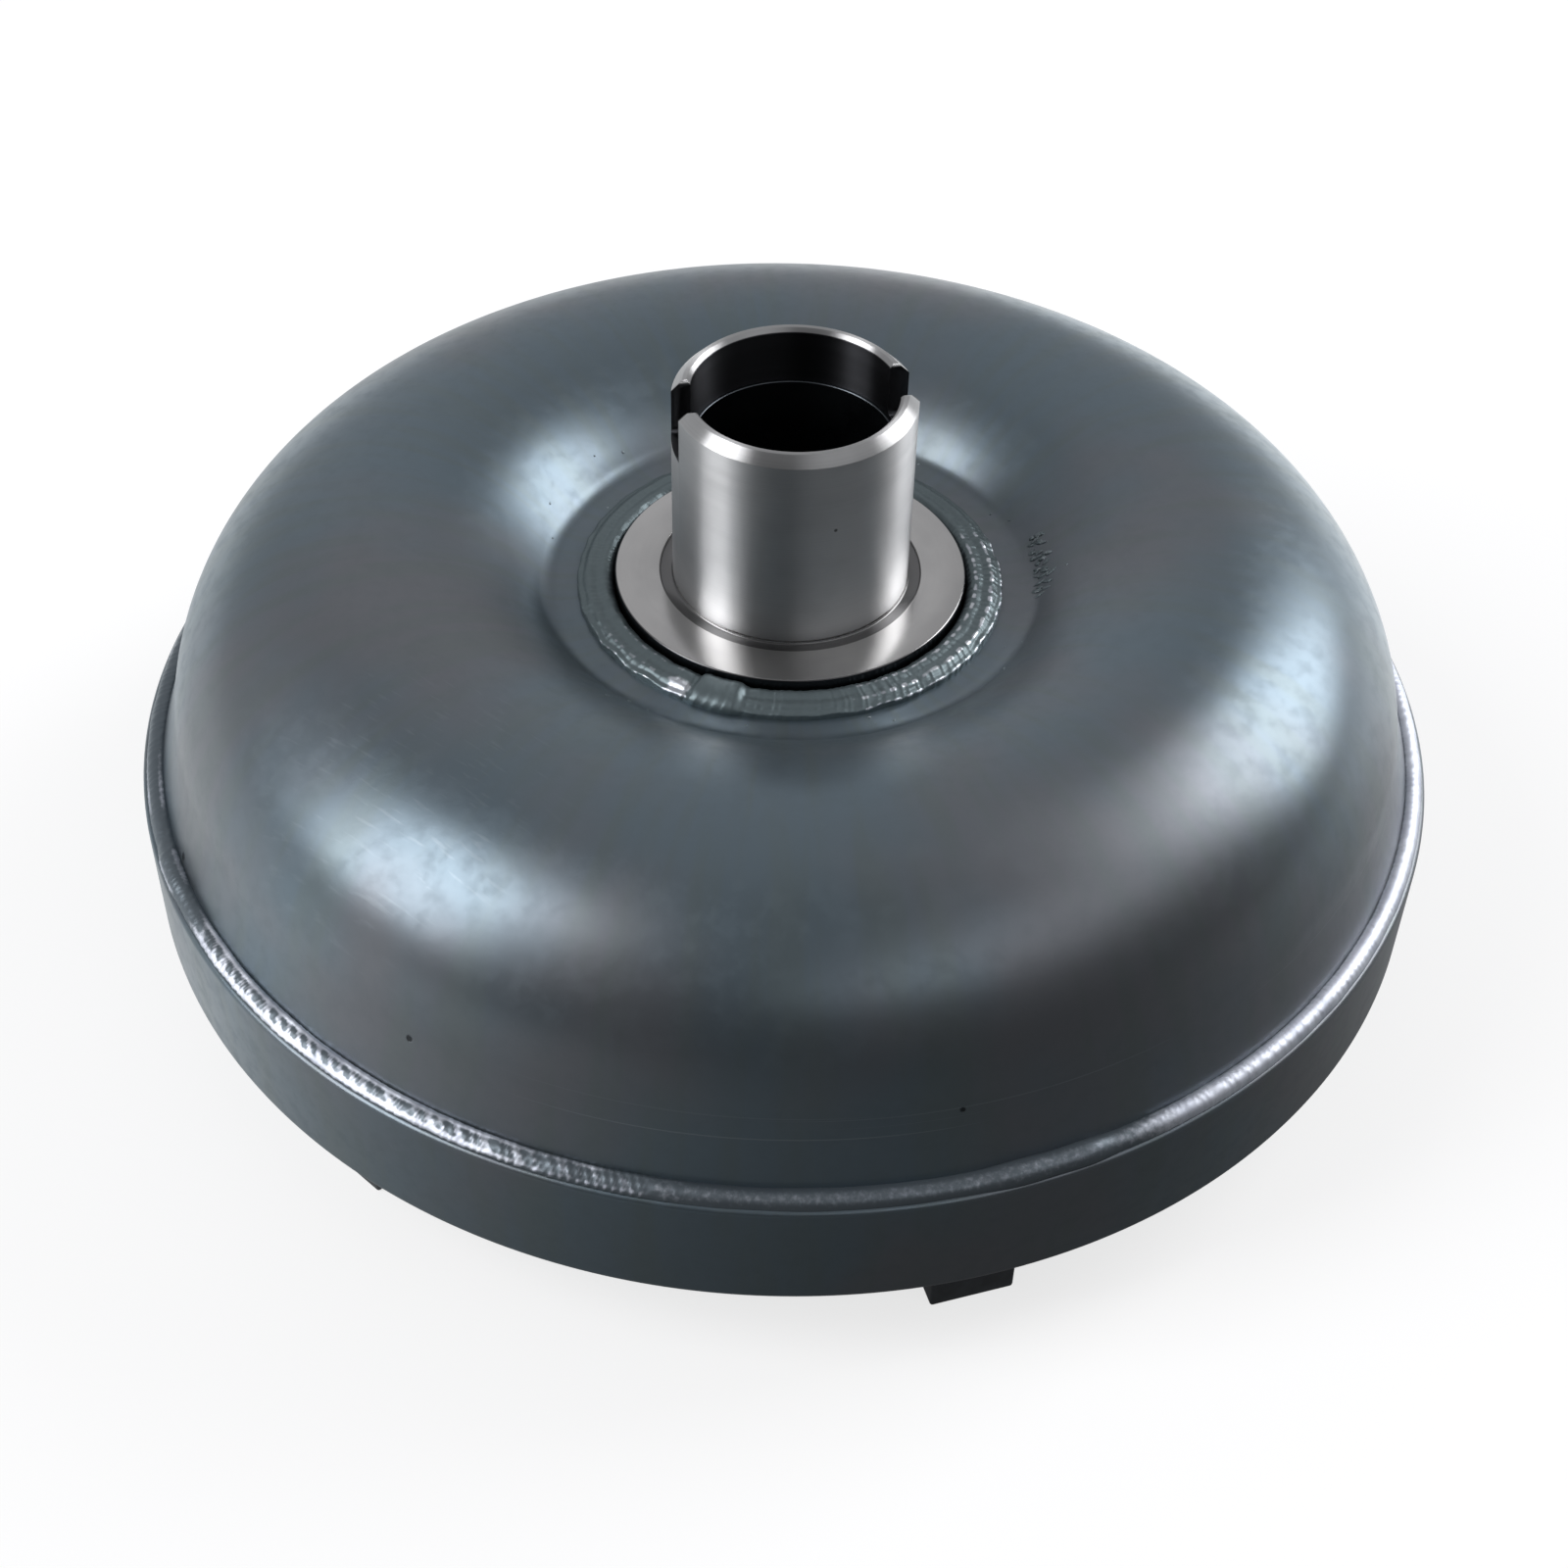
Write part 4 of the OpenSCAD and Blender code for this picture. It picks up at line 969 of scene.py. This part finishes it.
def studio_world():
    """Dark in front, brighter behind and overhead; the camera itself sees a pale backdrop."""
    world = bpy.data.worlds.new("studio")
    bpy.context.scene.world = world
    world.use_nodes = True
    tree = world.node_tree
    tree.nodes.clear()
    output = tree.nodes.new("ShaderNodeOutputWorld")
    x, y, z = put(tree, "SeparateXYZ", {0: put(tree, "TexCoord", {}).outputs["Generated"]}).outputs
    front, away = room_side(tree, x, y)
    behind = ramp(tree, front, 0.55, -0.35)
    dim = ramp(tree, z, 0.45, 1.0, 0.055, 0.22)
    lit = ramp(tree, z, 0.3, 0.95, 0.42, 0.3)
    level = mixed(tree, behind, dim, lit)
    back_wall = ramp(tree, math_node(tree, "DIVIDE", y, away), 0.86, 0.98, 0.0, 0.14)
    level = math_node(tree, "ADD", level, back_wall)
    panel_turn = math.radians(42)
    panelward = math_node(tree, "ADD", math_node(tree, "MULTIPLY", x, math.sin(panel_turn)), math_node(
        tree, "MULTIPLY", y, -math.cos(panel_turn)))
    panel = math_node(tree, "MULTIPLY", ramp(tree, panelward, 0.44, 0.58), ramp(tree, z, 0.5, 0.66))
    level = math_node(tree, "ADD", level, math_node(tree, "MULTIPLY", panel, 0.85))
    room = put(tree, "Background", {"Color": rgb(0.96, 0.97, 1.0), "Strength": level}).outputs[0]
    backdrop = put(tree, "Background", {"Color": rgb(1, 1, 1), "Strength": 0.95}).outputs[0]
    path = put(tree, "LightPath", {}).outputs["Is Camera Ray"]
    tree.links.new(put(tree, "MixShader", {0: path, 1: room, 2: backdrop}).outputs[0], output.inputs[0])


studio_world()
bpy.context.scene.view_settings.view_transform = "Standard"

VIEW_TURN = math.radians(-11.0)
VIEW_DOWN = math.radians(43.31)
VIEW_ROLL = math.radians(1.66)
VIEW_FROM = Vector((0, -0.4518, 0.4498))
spin = Matrix.Rotation(VIEW_TURN, 4, "Z")
tilt = Matrix.Rotation(math.pi / 2 - VIEW_DOWN, 4, "X")
camera_data = bpy.data.cameras.new("camera")
camera_data.sensor_width = 36.0
camera_data.lens = 56.18
camera = bpy.data.objects.new("camera", camera_data)
camera.matrix_world = Matrix.Translation(spin @ VIEW_FROM) @ (
    spin @ tilt @ Matrix.Rotation(VIEW_ROLL, 4, "Z"))
bpy.context.scene.collection.objects.link(camera)
bpy.context.scene.camera = camera
